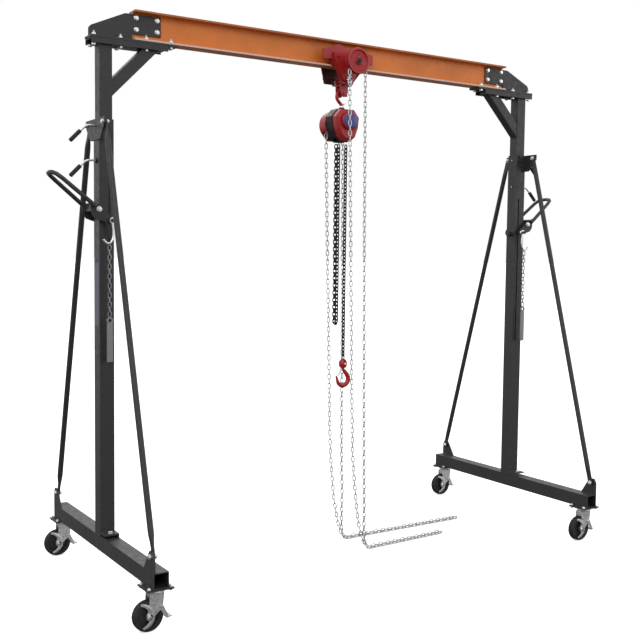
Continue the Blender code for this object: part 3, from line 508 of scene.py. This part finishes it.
def trolley_chain_route():
    """The trolley's endless hand chain, from its wheel to the floor and back."""
    y, left, right_x = TROLLEY_WHEEL_Y, TX - 0.046, TX + 0.046
    down = in_plane(y, [(left, 2.351), (left + 0.012, 1.850), (left + 0.028, 1.200), (0.0169, 0.563)])
    down += [(0.0310, y, 0.370), (0.0549, y, 0.1736), (0.0740, y - 0.001, 0.092), (0.0900, y - 0.002, 0.046)]
    up = in_plane(y, [(right_x, 2.351), (right_x + 0.010, 1.400), (0.0868, 0.556)])
    up += [(0.0957, y + 0.003, 0.2333), (0.1040, y + 0.012, 0.0800)]
    return smooth(loop_route((down, up), (0.116, -0.1320), (0.615, -0.1050), LOOP_SPREAD, ON_FLOOR), 8)


def tail_route():
    """The slack loop of the load chain: two strands with a half turn between them at the bottom."""
    bend = TAIL_Z + LOAD_D / 2 + TAIL_SPREAD
    near, far = TAIL_Y - TAIL_SPREAD, TAIL_Y + TAIL_SPREAD
    route = straight_line((TAIL_X, near, CHAIN_TOP), (TAIL_X, near, bend), 20)
    for turn in range(15, 180, 15):
        c, d = math.cos(math.radians(turn)), math.sin(math.radians(turn))
        route.append(Vector((TAIL_X, TAIL_Y - TAIL_SPREAD * c, bend - TAIL_SPREAD * d)))
    return route + straight_line((TAIL_X, far, bend), (TAIL_X, far, CHAIN_TOP), 20)


def chain(name, node, route, link, material, body=None, roll=0.0):
    """Links along a cord's route, in place of the CAD's plain bar."""
    made = piece(name, link_row(route, *link, roll), material, body, angle=60)
    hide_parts(node)
    return made


def stretches(made):
    """Bakes the chain's placement into its mesh."""
    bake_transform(made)


HAND_ROLL, LOAD_ROLL, LIFT_ROLL = 0.5, -0.2, 0.6
LIFT_CHAIN_TOP, LIFT_CHAIN_LOW = 1.498, 1.196
chain("hoist_hand_chain_links", "hoist_hand_chain", hoist_chain_route(), HAND_LINK, BRIGHT,
      "hoist", roll=HAND_ROLL)
chain("trolley_hand_chain_links", "trolley_hand_chain", trolley_chain_route(), HAND_LINK, BRIGHT,
      "trolley", roll=HAND_ROLL)
load_route = straight_line((HOOK_X, 0, CHAIN_TOP), (HOOK_X, 0, BLOCK_TOP), 30)
load_links = chain("load_chain_links", "load_chain", load_route, LOAD_LINK, BLACK,
                   roll=LOAD_ROLL)
stretches(load_links)
tail_links = chain("load_chain_tail_links", "load_chain_tail", tail_route(), LOAD_LINK, BLACK,
                   roll=LOAD_ROLL)
stretches(tail_links)
for s, word in SIDES:
    cx = s * (POST_X + 0.002)
    lift_route = straight_line((cx, LIFT_Y, LIFT_CHAIN_TOP), (cx, LIFT_Y, LIFT_CHAIN_LOW), 12)
    chain(f"{word}_lift_chain_links", f"{word}_lift_chain", lift_route, LIFT_LINK, DULL,
          f"{word}_lifting_hook", roll=LIFT_ROLL)


def wrap(name, cx, cz, y, radius, body):
    """The chain that lies in a hand wheel's groove, from one strand over the top to the other."""
    start, stop = math.radians(196), math.radians(-16)
    arc = [start + (stop - start) * i / 24 for i in range(25)]
    route = [(cx + radius * math.cos(a), y, cz + radius * math.sin(a)) for a in arc]
    piece(name, link_row(route, *HAND_LINK, HAND_ROLL), BRIGHT, body, angle=60)


wrap("trolley_wheel_chain", TX, PINION_Z, TROLLEY_WHEEL_Y + 0.0035, 0.0490, "trolley")
wrap("hoist_wheel_chain", HX, HZ, HOIST_CHAIN_Y, 0.0500, "hoist")


# ---------- fasteners and welds
def hex_head(flats, height):
    """A hexagon with a chamfered top, from z = 0 up."""
    r = flats / math.sqrt(3)
    rows = [(0.0, r), (height * 0.80, r), (height, r * 0.88)]
    loops = [[(u, v, z) for u, v in disc(0, 0, radius, 6)] for z, radius in rows]
    return rings(loops)


def bolt(at, way, flats=0.017, height=0.0065, stub=0.0):
    """A washer, a hexagon head or nut and, with a stub, the threaded end past it."""
    outer, edge = flats * 0.64, flats * 0.60
    washer = lathe("z", 0, 0, [(0, edge), (0.0004, outer), (0.0016, outer), (0.0020, edge)], 24)
    shapes = [washer, moved(hex_head(flats, height), Matrix.Translation((0, 0, 0.0018)))]
    if stub:
        r, profile, z = flats * 0.29, [], height
        turns = max(3, round(stub / 0.0015))
        for k in range(turns):
            profile += [(z + stub * k / turns, r * 0.90), (z + stub * (k + 0.5) / turns, r)]
        shapes.append(lathe("z", 0, 0, [(0.0005, r * 0.9)] + profile + [(z + stub, r * 0.8)], 16))
    else:
        cap = [(height + 0.0010, flats * 0.36), (height + 0.0022, flats * 0.34)]
        shapes.append(lathe("z", 0, 0, cap, 20))
    return [moved(shape, facing(at, way)) for shape in shapes]


def cap_screw(at, way, r=0.0045, height=0.0040):
    """A socket cap screw: a turned head with a round socket sunk in it."""
    rim = [(0, r), (height * 0.85, r), (height, r * 0.9), (height, r * 0.55), (height * 0.45, r * 0.5)]
    return [moved(lathe("z", 0, 0, rim, 20), facing(at, way))]


def weld(a, b, radius=0.0032):
    """A rippled bead from one point to another, sunk half into both pieces."""
    a, b = Vector(a), Vector(b)
    count = max(6, round((b - a).length / 0.0016))
    radii = [radius * (0.86 + 0.14 * math.sin(1.6 * i) + 0.05 * math.sin(0.37 * i)) for i in range(count + 1)]
    radii[0] = radii[-1] = radius * 0.4
    return bar(straight_line(a, b, count), radii, 8)


def weld_ring(cx, cy, z, half, radius=0.0032):
    """A bead round the foot of a square tube."""
    corners = [(cx + u * half, cy + v * half, z) for u, v in ((-1, -1), (1, -1), (1, 1), (-1, 1))]
    return [weld(p, q, radius) for p, q in zip(corners, corners[1:] + corners[:1])]


# ---------- the CAD nodes that stay
def dress(name, width):
    """Gives a node its finish and a small rounding on its edges."""
    node = frame["nodes"][name]
    if not node.material_slots:
        node.data.materials.append(None)
    for material_slot in node.material_slots:
        material_slot.material = OWN_LOOK.get(name, LOOKS[SLOT_OF[name]])
    if "custom_normal" in node.data.attributes:
        node.data.attributes.remove(node.data.attributes["custom_normal"])
    node.data.shade_smooth()
    weld_points = node.modifiers.new("weld", "WELD")
    weld_points.merge_threshold = 0.00002
    flat = node.modifiers.new("flats", "DECIMATE")
    flat.decimate_type, flat.angle_limit = "DISSOLVE", math.radians(1.0)
    edge = node.modifiers.new("edges", "BEVEL")
    edge.width, edge.segments, edge.limit_method, edge.angle_limit = width, 2, "ANGLE", math.radians(34)
    edge.harden_normals = True
    edge.miter_outer = "MITER_ARC"


EDGE = {"frame_paint": 0.0016, "beam_paint": 0.0012, "hoist_paint": 0.0010, "zinc": 0.0006,
        "black_steel": 0.0010, "tyre_rubber": 0.0010}
REPLACED = ("castor_wheel_", "left_pin_", "right_pin_", "left_stay_", "right_stay_", "bottom_hook",
            "top_hook")
for name, slot in SLOT_OF.items():
    if not name.startswith(REPLACED) and not frame["nodes"][name].hide_render:
        dress(name, EDGE[slot])


# ---------- legs: welds, bolts, lock pins and levers
WING_UNDER, COLLAR_TOP, COLLAR_LOW = 1.9445, 2.030, 1.947
LUG_Y, LUG_LOW, LUG_HIGH = 0.0290, 1.641, 1.659
INNER_HALF, BRACE_FACE, BRACE_LOW, BRACE_HIGH = 0.028, 0.0250, 2.130, 2.199
BY_WEB = WEB_HALF + 0.0064
PLATE_BOLTS = ((0.960, 2.474), (1.056, 2.474), (0.960, 2.425), (1.056, 2.425))
SEAT_BOLTS_X = (0.9015, 1.0165, 1.133, 1.250)
END_STUB, SEAT_STUB = 0.006, 0.012


def post_offset(side):
    """A function that gives X from an offset outward of this leg's post."""
    return lambda u: side * (POST_X + u)


def leg_welds(side, word):
    """Beads round the post's foot, the tabs, the castor plates, the collar's wings and the lever's lug."""
    x = post_offset(side)
    beads = weld_ring(side * POST_X, 0, BASE_TOP + 0.0008, POST_HALF, 0.0038)
    for end, _ in ENDS:
        edge, cy = end * BASE_HALF, end * CASTOR_Y
        beads.append(weld((x(0.0245), edge - end * 0.094, BASE_TOP),
                          (x(0.0245), edge - end * 0.002, BASE_TOP)))
        for s in (-1, 1):
            face = x(s * POST_HALF)
            beads.append(weld((face, cy - 0.050, PLATE_TOP), (face, cy + 0.050, PLATE_TOP), 0.0026))
    face = x(POST_HALF)
    for end in (-1, 1):
        y = end * POST_HALF
        beads.append(weld((face, y, WING_UNDER), (face, end * 0.060, WING_UNDER), 0.0020))
        beads.append(weld((x(-0.016), y, COLLAR_TOP), (x(0.010), y, COLLAR_LOW), 0.0024))
        beads.append(weld((face, end * LUG_Y, LUG_LOW), (face, end * LUG_Y, LUG_HIGH), 0.0022))
    tab = (x(-POST_HALF + 0.002), -POST_HALF, FOOT_TAB_TOP), (x(POST_HALF - 0.002), -POST_HALF, FOOT_TAB_TOP)
    beads.append(weld(*tab, 0.0026))
    piece(f"{word}_leg_welds", beads, CHARCOAL, f"{word}_leg", angle=60)


def stay_shape(top, foot):
    """A stay: a round tube whose ends are squashed flat, hole to hole along its own axis."""
    way = (foot - top).normalized()
    wide_way = way.cross(Vector((1, 0, 0))).normalized()
    thick_way = wide_way.cross(way)
    # Rows from a hole inward: reach, half thickness, half width, and the power that squares the outline.
    flat, wide, square = 0.0036, 0.0145, 0.45
    end_rows = [(-0.0140, flat, 0.0080, square), (-0.0060, flat, wide, square), (0.0300, flat, wide, square)]
    for k in range(1, 9):
        t = k / 8
        ease = t * t * (3 - 2 * t)
        row = 0.0300 + 0.0700 * t, flat + 0.0089 * ease, wide - 0.0020 * ease, square + 0.55 * t
        end_rows.append(row)
    loops = []
    for hole, sign, rows in ((top, 1, end_rows), (foot, -1, end_rows[::-1])):
        for reach, half_thick, half_wide, power in rows:
            loop = []
            for a, b in disc(0, 0, 1, 24):
                u = half_thick * math.copysign(abs(a) ** power, a)
                v = half_wide * math.copysign(abs(b) ** power, b)
                loop.append(tuple(hole + way * (sign * reach) + thick_way * u + wide_way * v))
            loops.append(loop)
    return rings(loops)


def stays(side, word):
    """The front and back stay, in place of the CAD's."""
    x = post_offset(side)
    for end, where in ENDS:
        top = Vector((x(POST_HALF - 0.0052), end * STAY_TOP[0], STAY_TOP[1]))
        foot = Vector((x(POST_HALF - 0.0129), end * STAY_FOOT[0], STAY_FOOT[1]))
        made = piece(f"{word}_stay_tube_{where}", [stay_shape(top, foot)], CHARCOAL, f"{word}_leg",
                     angle=50)
        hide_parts(f"{word}_stay_{where}")


def head_welds(side, word):
    """Beads round the top of the inner post, its diagonal brace, and the plates along the beam's web."""
    x = post_offset(side)
    beads = weld_ring(side * POST_X, 0, CHANNEL_UNDER - 0.0006, INNER_HALF, 0.0030)
    for end in (-1, 1):
        face = end * BRACE_FACE
        beads.append(weld((x(-INNER_HALF), face, BRACE_LOW), (x(-INNER_HALF), face, BRACE_HIGH), 0.0026))
        beads.append(weld((x(-0.178), face, CHANNEL_UNDER), (x(-0.244), face, CHANNEL_UNDER), 0.0026))
    for level_z in (BRACE_LOW - 0.002, BRACE_HIGH + 0.002):
        beads.append(weld((x(-INNER_HALF), -0.024, level_z), (x(-INNER_HALF), 0.024, level_z), 0.0026))
    for end in (-1, 1):
        y = end * BY_WEB
        beads.append(weld((side * 1.078, y, SEAT_TOP), (side * 1.260, y, SEAT_TOP), 0.0028))
    piece(f"{word}_head_welds", beads, CHARCOAL, "gantry_top", angle=60)


def leg_bolts(side, word):
    """Bolts through the stays' ends, the castor plates and the post's foot tab."""
    x = post_offset(side)
    out, away = (side, 0, 0), (-side, 0, 0)
    bolts = []
    for end, _ in ENDS:
        for (y, z), head, nut in ((STAY_TOP, 0.0386, 0.0236), (STAY_FOOT, 0.0326, 0.0159)):
            bolts += bolt((x(head), end * y, z), out) + bolt((x(nut), end * y, z), away, stub=END_STUB)
        for du in (-0.045, 0.045):
            for dy in (-0.040, 0.040):
                at = (x(du), end * CASTOR_Y + dy)
                bolts += bolt((*at, PLATE_TOP + 0.0001), (0, 0, 1), 0.013, 0.0055, 0.004)
                bolts += bolt((*at, PLATE_UNDER - 0.0001), (0, 0, -1), 0.013, 0.0050)
    bolts += bolt((x(0), -0.066, FOOT_TAB_TOP + 0.0001), (0, 0, 1), 0.017, 0.0065)
    piece(f"{word}_leg_bolts", bolts, ZINC, f"{word}_leg")


def bracket_bolts(side, word):
    """Bolts through the bracket's plates and the beam's web, and down through the lower flange and the seat."""
    bolts = []
    for u, z in PLATE_BOLTS:
        bolts += bolt((side * u, -BY_WEB, z), (0, -1, 0))
        bolts += bolt((side * u, BY_WEB, z), (0, 1, 0), stub=END_STUB)
    for u in SEAT_BOLTS_X:
        head = BEAM_LOW.z + FLANGE if u < 1.07 else SEAT_TOP
        nut = SEAT_UNDER if u < 0.92 else CHANNEL_UNDER
        for dy in (-0.024, 0.024):
            bolts += bolt((side * u, dy, head), (0, 0, 1), stub=SEAT_STUB)
            bolts += bolt((side * u, dy, nut), (0, 0, -1))
    piece(f"{word}_bracket_bolts", bolts, ZINC, "gantry_top")


def lock_pins(side, word):
    """Each pin: a collar on the post, a bent rod with a pointed tip, and a ribbed rubber grip."""
    x = post_offset(side)
    collars = []
    for z in PIN_HEIGHTS.values():
        profile = [(0.0320, 0.0058), (0.0320, 0.0120), (0.0372, 0.0120), (0.0384, 0.0108), (0.0384, 0.0058)]
        collars.append(ringed("x", 0, z, [(x(a), r) for a, r in profile], 32))
    piece(f"{word}_pin_collars", collars, CHARCOAL, f"{word}_leg")
    for where, z in PIN_HEIGHTS.items():
        body = f"{word}_pin_{where}"
        route = smooth([(x(-0.0370), 0, z), (x(0.010), 0, z), (x(0.058), 0, z), (x(0.074), 0, z - 0.003),
                        (x(0.088), 0, z - 0.012), (x(0.108), 0, z - 0.031)], 6)
        radii = [0.0028, 0.0040] + [0.0050] * (len(route) - 2)
        rod = piece(f"{word}_pin_{where}_rod", [bar(route, radii, 20)], ZINC, body, angle=60)
        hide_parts(f"{word}_pin_{where}")
        start, stop, count = Vector((x(0.102), 0, z - 0.025)), Vector((x(0.147), 0, z - 0.071)), 44
        radii = [0.0089 + 0.0007 * math.cos(2 * math.pi * i / 4) for i in range(count + 1)]
        radii[:3] = [0.0058, 0.0080, 0.0094]
        radii[-4:] = [0.0094, 0.0090, 0.0078, 0.0050]
        grip = bar(straight_line(start, stop, count), radii, 24)
        piece(f"{word}_pin_{where}_grip", [grip], RUBBER, body, angle=80)


def lever_detail(side, word):
    """Nuts on the lever's pivot, and beads where its web and handle meet the cheeks."""
    x, pivot = post_offset(side), PIVOT[f"{word}_lever_swing"]
    nuts = []
    for end in (-1, 1):
        nuts += bolt((pivot.x, end * 0.0562, pivot.z), (0, end, 0), 0.019, 0.0070, 0.004)
    piece(f"{word}_lever_nuts", nuts, ZINC, f"{word}_lever")
    beads = []
    for end in (-1, 1):
        beads.append(weld((x(0.0670), end * 0.0497, 1.6440), (x(0.0605), end * 0.0497, 1.6770), 0.0022))
        beads.append(weld((x(0.0570), end * 0.0568, 1.6690), (x(0.0740), end * 0.0568, 1.6825), 0.0024))
    piece(f"{word}_lever_welds", beads, CHARCOAL, f"{word}_lever", angle=60)


for s, word in SIDES:
    for detail in (leg_welds, stays, head_welds, leg_bolts, bracket_bolts, lock_pins, lever_detail):
        detail(s, word)


def rounded(u0, u1, v0, v1, r, steps=5):
    """A rectangle with round corners."""
    points = []
    for k, (u, v) in enumerate(((u1 - r, v1 - r), (u0 + r, v1 - r), (u0 + r, v0 + r), (u1 - r, v0 + r))):
        for i in range(steps + 1):
            a = math.pi / 2 * (k + i / steps)
            points.append((u + r * math.cos(a), v + r * math.sin(a)))
    return points


# A plain strip on the left post's outer face, with no lettering.
outer_face = -POST_X - POST_HALF
strip = prism(rounded(-0.0250, 0.0260, 1.1540, 1.4240, 0.0040), "x", outer_face - 0.0005, outer_face + 0.0004)
piece("left_post_strip", [strip], STRIP, "left_leg")


# ---------- castors
TREAD_GROOVES, SPOKES, PEDAL_RIBS = (-0.0065, 0.0, 0.0065), 8, 4
BRAKE_CURVE = ((-0.036, 0.053), (-0.019, 0.048), (-0.003, 0.036), (0.010, 0.016), (0.011, -0.004),
               (0.004, -0.022), (-0.010, -0.035), (-0.028, -0.042))


def castor_wheel(word, wheel, cy):
    """A grooved tyre on a moulded hub with a web and spokes."""
    half, body = WHEEL_HALF, f"wheel_{word}"

    def turned(profile, count):
        return ringed("y", wheel.x, wheel.z, [(cy + a, r) for a, r in profile], count)

    tread = [(-half, 0.0455), (-half, 0.0560), (-half + 0.0016, 0.0598), (-half + 0.0050, 0.0616)]
    for groove in TREAD_GROOVES:
        tread += [(groove - 0.0014, WHEEL_R - 0.0002), (groove - 0.0009, WHEEL_R - 0.0016),
                  (groove + 0.0009, WHEEL_R - 0.0016), (groove + 0.0014, WHEEL_R - 0.0002)]
    tread += [(half - 0.0050, 0.0616), (half - 0.0016, 0.0598), (half, 0.0560), (half, 0.0455)]
    made = piece(f"castor_tyre_{word}", [turned(tread, 72)], RUBBER, body, angle=50)
    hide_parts(f"castor_wheel_{word}")
    half_rim = [(0.0050, 0.0400), (0.0120, 0.0415), (0.0150, 0.0440), (0.0140, 0.0456)]
    rim = [(-a, r) for a, r in reversed(half_rim)] + half_rim
    web = [(-0.0030, 0.0150), (-0.0030, 0.0405), (0.0030, 0.0405), (0.0030, 0.0150)]
    half_hub = [(0.0160, 0.0160), (0.0180, 0.0120), (0.0180, 0.0062)]
    hub = [(-a, r) for a, r in reversed(half_hub)] + half_hub
    shapes = [turned(rim, 72), turned(web, 72), turned(hub, 48)]
    for k in range(SPOKES):
        spoke = box(0.0150, 0.0410, -0.0013, 0.0013, -0.0115, 0.0115)
        turn = Matrix.Rotation(math.pi / 2, 4, "X") @ Matrix.Rotation(2 * math.pi / SPOKES * k, 4, "Z")
        shapes.append(moved(spoke, Matrix.Translation((wheel.x, cy, wheel.z)) @ turn))
    piece(f"castor_hub_{word}", shapes, HUB, body)


def castor_fork(word, wheel, cx, cy):
    """Axle nuts, the swivel's rings, the curved brake plate on the front cheek, and ribs on the pedal."""
    shapes = []
    for s in (-1, 1):
        shapes += bolt((wheel.x, cy + s * 0.0226, wheel.z), (0, s, 0), 0.012, 0.0036, 0.001)
    shapes.append(lathe("z", cx, cy, [(0.1436, 0.0075), (0.1400, 0.0075), (0.1380, 0.0060)], 24))
    race = [(0.1595, 0.0350), (0.1570, 0.0362), (0.1545, 0.0350), (0.1560, 0.0330)]
    shapes.append(ringed("z", cx, cy, race, 48))
    piece(f"castor_axle_{word}", shapes, ZINC, f"castor_{word}")

    curve = smooth([(wheel.x + u, 0.0, wheel.z + v) for u, v in BRAKE_CURVE], 4)
    last = len(curve) - 1
    near_side, far_side = [], []
    for k, p in enumerate(curve):
        way = (curve[min(k + 1, last)] - curve[max(k - 1, 0)]).normalized()
        half_wide = 0.0044 + 0.0050 * math.sin(math.pi * k / last)
        near_side.append((p.x - way.z * half_wide, p.z + way.x * half_wide))
        far_side.append((p.x + way.z * half_wide, p.z - way.x * half_wide))
    outlines = near_side + far_side[::-1], disc(wheel.x, wheel.z, 0.0125, 24)
    plate = [prism(outline, "y", cy - 0.0249, cy - 0.0227) for outline in outlines]
    piece(f"castor_brake_plate_{word}", plate, ZINC, f"castor_{word}", soften=0.0004)

    ribs = []
    for k in range(PEDAL_RIBS):
        u, wide = cx + 0.0405 + 0.0050 * k, 0.0205 - 0.0019 * k
        ribs.append(box(u, u + 0.0022, cy - wide, cy + wide, 0.0526, 0.0544))
    piece(f"castor_pedal_ribs_{word}", ribs, ZINC, f"pedal_{word}", soften=0.0004)


for s, word in SIDES:
    for end, where in ENDS:
        corner = f"{word}_{where}"
        castor_wheel(corner, PIVOT[f"roll_{corner}"], end * CASTOR_Y)
        castor_fork(corner, PIVOT[f"roll_{corner}"], s * POST_X, end * CASTOR_Y)


# ---------- trolley
ROLLER_AXLE_Z, PLATE_FACE, WASHERS_PER_SIDE = 2.4164, 0.0542, 4


def trolley_detail():
    """Nuts on the roller axles, bosses, washers on the load bar and screws round the pinion's bearing."""
    nuts = []
    for end, u in ((-1, 0.0625), (1, -0.0625), (1, 0.0625)):
        nuts += bolt((TX + u, end * PLATE_FACE, ROLLER_AXLE_Z), (0, end, 0), 0.016, 0.0060)
    nuts += bolt((TX - 0.052, PLATE_FACE, 2.352), (0, 1, 0), 0.014, 0.0055)
    piece("trolley_axle_nuts", nuts, ZINC, "trolley")

    bosses = [lathe("y", TX - 0.060, 2.3325, [(0.0535, 0.0140), (0.0600, 0.0140), (0.0620, 0.0120)], 32),
              lathe("y", TX, LOAD_BAR_Z, [(-0.0782, 0.0104), (-0.0815, 0.0098), (-0.0825, 0.0080)], 28)]
    piece("trolley_bosses", bosses, RED, "trolley")

    washers = []
    for end in (-1, 1):
        for k in range(WASHERS_PER_SIDE):
            y0 = 0.0265 + 0.0052 * k
            rows = ((y0, 0.0165), (y0 + 0.0004, 0.0172), (y0 + 0.0040, 0.0172), (y0 + 0.0044, 0.0165))
            washers.append(lathe("y", TX, LOAD_BAR_Z, [(end * y, r) for y, r in rows], 32))
    piece("load_bar_spacers", washers, ZINC, "trolley")

    screws = []
    for u, v in arc(TX, PINION_Z, 0.0110, (90, 210, 330)):
        screws += cap_screw((u, -0.0742, v), (0, -1, 0), 0.0024, 0.0020)
    piece("pinion_bearing_screws", screws, ZINC, "trolley")


def trolley_wheel_detail():
    """Raised rings on the hand wheel's face, and the end of its shaft."""
    dish = []
    for r, wide in ((0.0265, 0.0022), (0.0355, 0.0018), (0.0440, 0.0014)):
        rows = ((-0.0050, -1.0), (-0.0068, -0.6), (-0.0076, 0.0), (-0.0068, 0.6), (-0.0050, 1.0))
        profile = [(TROLLEY_WHEEL_Y + a, r + wide * share) for a, share in rows]
        dish.append(ringed("y", TX, PINION_Z, profile, 64))
    piece("trolley_wheel_rings", dish, RED, "trolley_wheel", angle=60)
    front = TROLLEY_WHEEL_Y - 0.0140
    rows = ((0.0004, 0.0092), (0.0004, 0.0138), (-0.0010, 0.0138), (-0.0010, 0.0092))
    ring = [(front + a, r) for a, r in rows]
    shaft = [(front + 0.0010, 0.0088), (front - 0.0022, 0.0088), (front - 0.0030, 0.0078)]
    shapes = [lathe("y", TX, PINION_Z, shaft, 32), ringed("y", TX, PINION_Z, ring, 40)]
    piece("trolley_wheel_shaft_end", shapes, BLACK, "trolley_wheel")


trolley_detail()
trolley_wheel_detail()


# ---------- hoist
BADGE_Z, BADGE_HALF_WIDE, BADGE_HALF_HIGH = 2.120, 0.0405, 0.0360
GEAR_SCREWS = ((0.049, 0.046), (-0.049, 0.046), (0.048, -0.040), (-0.048, -0.040), (0.0, -0.074),
               (0.0, 0.064))
COVER_BACK, COVER_Z = 0.0861, HZ + 0.004


def hoist_detail():
    """The blue disc and screws on the gear cover, and the nuts and lip on the wheel cover."""
    oval = []
    for y_face, grow in ((-0.0836, 1.0), (-0.0862, 1.0), (-0.0870, 0.95)):
        wide, high = BADGE_HALF_WIDE * grow, BADGE_HALF_HIGH * grow
        oval.append([(HX + wide * u, y_face, BADGE_Z + high * v) for u, v in disc(0, 0, 1, 48)])
    piece("gear_cover_badge", [rings(oval)], BLUE, "hoist")
    screws = []
    for u, v in GEAR_SCREWS:
        screws += cap_screw((HX + u * 0.92, -0.0560, HZ + v * 0.92), (0, -1, 0), 0.0042, 0.0060)
    piece("gear_cover_screws", screws, ZINC, "hoist")
    nuts = []
    for u, v in ((0.045, 0.036), (-0.045, 0.036), (0.0, -0.030)):
        nuts += bolt((HX + u, COVER_BACK, HZ + v), (0, 1, 0), 0.010, 0.0045)
    nuts += bolt((HX, COVER_BACK, COVER_Z), (0, 1, 0), 0.014, 0.0055)
    piece("wheel_cover_nuts", nuts, ZINC, "hoist")
    lip = [(0.0840, 0.0560), (0.0878, 0.0545), (0.0878, 0.0515), (0.0840, 0.0500)]
    piece("wheel_cover_lip", [ringed("y", HX, COVER_Z, lip, 56)], RED, "hoist")


def hook_piece(name, node, route, radii, body, per_span=5):
    """A forged hook: a thick bowl drawn out to its tip, with a smooth skin."""
    line = smooth(in_plane(0, route), per_span)
    sizes = []
    for a, b in zip(radii, radii[1:]):
        sizes += [a + (b - a) * i / per_span for i in range(per_span)]
    made = piece(name, [bar(line, sizes + [radii[-1]], 28)], RED, body, angle=70)
    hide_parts(node)


def top_hook():
    """The hoist's own hook, with the collar and nut on its stem."""
    route = [(HX, 2.1700), (HX, 2.1860), (HX, 2.1980), (HX - 0.0040, 2.2070)]
    route += arc(HX, 2.2430, 0.0285, range(225, 24, -20)) + [(HX + 0.0285, 2.2460)]
    radii = [0.0066, 0.0066, 0.0070, 0.0080] + [0.0082] * (len(route) - 6) + [0.0070, 0.0050]
    hook_piece("top_hook_forging", "top_hook", route, radii, "hanging_hook")
    collar = [(2.1904, 0.0118), (2.1912, 0.0125), (2.1960, 0.0125), (2.1990, 0.0104), (2.2010, 0.0090)]
    nut = moved(hex_head(0.0208, 0.0086), Matrix.Translation((HX, 0, 2.1640)))
    neck = [lathe("z", HX, 0, collar, 36), nut]
    piece("top_hook_collar", neck, ZINC, "hanging_hook")


def bottom_hook():
    """The load hook, and the nuts on its block's pin."""
    route = [(HOOK_X, 0.9215), (HOOK_X, 0.9020), (HOOK_X + 0.001, 0.8960), (HOOK_X + 0.0130, 0.8835)]
    route += arc(HOOK_X, HOOK_Z, HOOK_R, range(41, -173, -21)) + [(HOOK_X - 0.0395, HOOK_Z + 0.0170)]
    radii = [0.0070, 0.0072, 0.0082, 0.0100] + [0.0118] * (len(route) - 8) + [0.0108, 0.0094, 0.0074, 0.0046]
    hook_piece("bottom_hook_forging", "bottom_hook", route, radii, "load_hook")
    nuts = []
    for end in (-1, 1):
        nuts += bolt((HOOK_X, end * 0.0206, 0.9250), (0, end, 0), 0.009, 0.0032)
    piece("hook_block_pin", nuts, ZINC, "hook_block")


def latch_spring(name, at, body):
    """A small torsion spring round a latch's pin."""
    turns, steps, radius = 4, 14, 0.0040
    route = []
    for i in range(turns * steps + 1):
        a = 2 * math.pi * i / steps
        y = -0.0040 + 0.0080 * i / (turns * steps)
        route.append((at.x + radius * math.cos(a), y, at.z + radius * math.sin(a)))
    piece(name, [bar(route, 0.0006, 6)], ZINC, body, angle=80)


hoist_detail()
top_hook()
bottom_hook()
latch_spring("bottom_latch_spring", PIVOT["bottom_latch_open"], "load_hook")
latch_spring("top_latch_spring", PIVOT["top_latch_open"], "hanging_hook")

# ---------- floor and light
REACH = 400
mesh = bpy.data.meshes.new("floor")
corners = [(u * REACH, v * REACH, 0) for u, v in ((-1, -1), (1, -1), (1, 1), (-1, 1))]
mesh.from_pydata(corners, [], [(0, 1, 2, 3)])
floor = bpy.data.objects.new("floor", mesh)
bpy.context.scene.collection.objects.link(floor)
pale = Look("pale_floor", (0.97, 0.97, 0.97), 0.0, 0.9)
pale.shader.inputs["Emission Color"].default_value = (1, 1, 1, 1)
pale.shader.inputs["Emission Strength"].default_value = 0.5
floor.data.materials.append(pale.material)
# The undersides stay as dark as over a real studio floor.
floor.visible_diffuse = floor.visible_glossy = False

# The studio: white from the horizon up, dim below it.
world = bpy.context.scene.world or bpy.data.worlds.new("studio")
bpy.context.scene.world = world
world.use_nodes = True
sky = world.node_tree
background = sky.nodes["Background"]
background.inputs["Color"].default_value = (1.0, 1.0, 1.0, 1)
height = sky.nodes.new("ShaderNodeSeparateXYZ")
sky.links.new(sky.nodes.new("ShaderNodeTexCoord").outputs["Generated"], height.inputs["Vector"])
fade = sky.nodes.new("ShaderNodeMapRange")
for key, value in {"From Min": -0.20, "From Max": -0.01, "To Min": 0.17, "To Max": 1.0}.items():
    fade.inputs[key].default_value = value
sky.links.new(height.outputs["Z"], fade.inputs["Value"])
sky.links.new(fade.outputs["Result"], background.inputs["Strength"])
bpy.context.scene.view_settings.view_transform = "Standard"


def lamp(name, at, aim, size, watts):
    data = bpy.data.lights.new(name, "AREA")
    data.shape, data.size, data.energy = "SQUARE", size, watts
    obj = bpy.data.objects.new(name, data)
    obj.location = at
    obj.rotation_euler = (Vector(aim) - Vector(at)).to_track_quat("-Z", "Y").to_euler()
    bpy.context.scene.collection.objects.link(obj)


middle = (0, 0, 1.2)
lamp("key", (-4.5, -5.0, 5.5), middle, 3.0, 90)
lamp("fill", (5.0, -4.0, 3.0), middle, 3.0, 25)
lamp("rim", (1.0, 5.5, 5.0), middle, 3.0, 40)
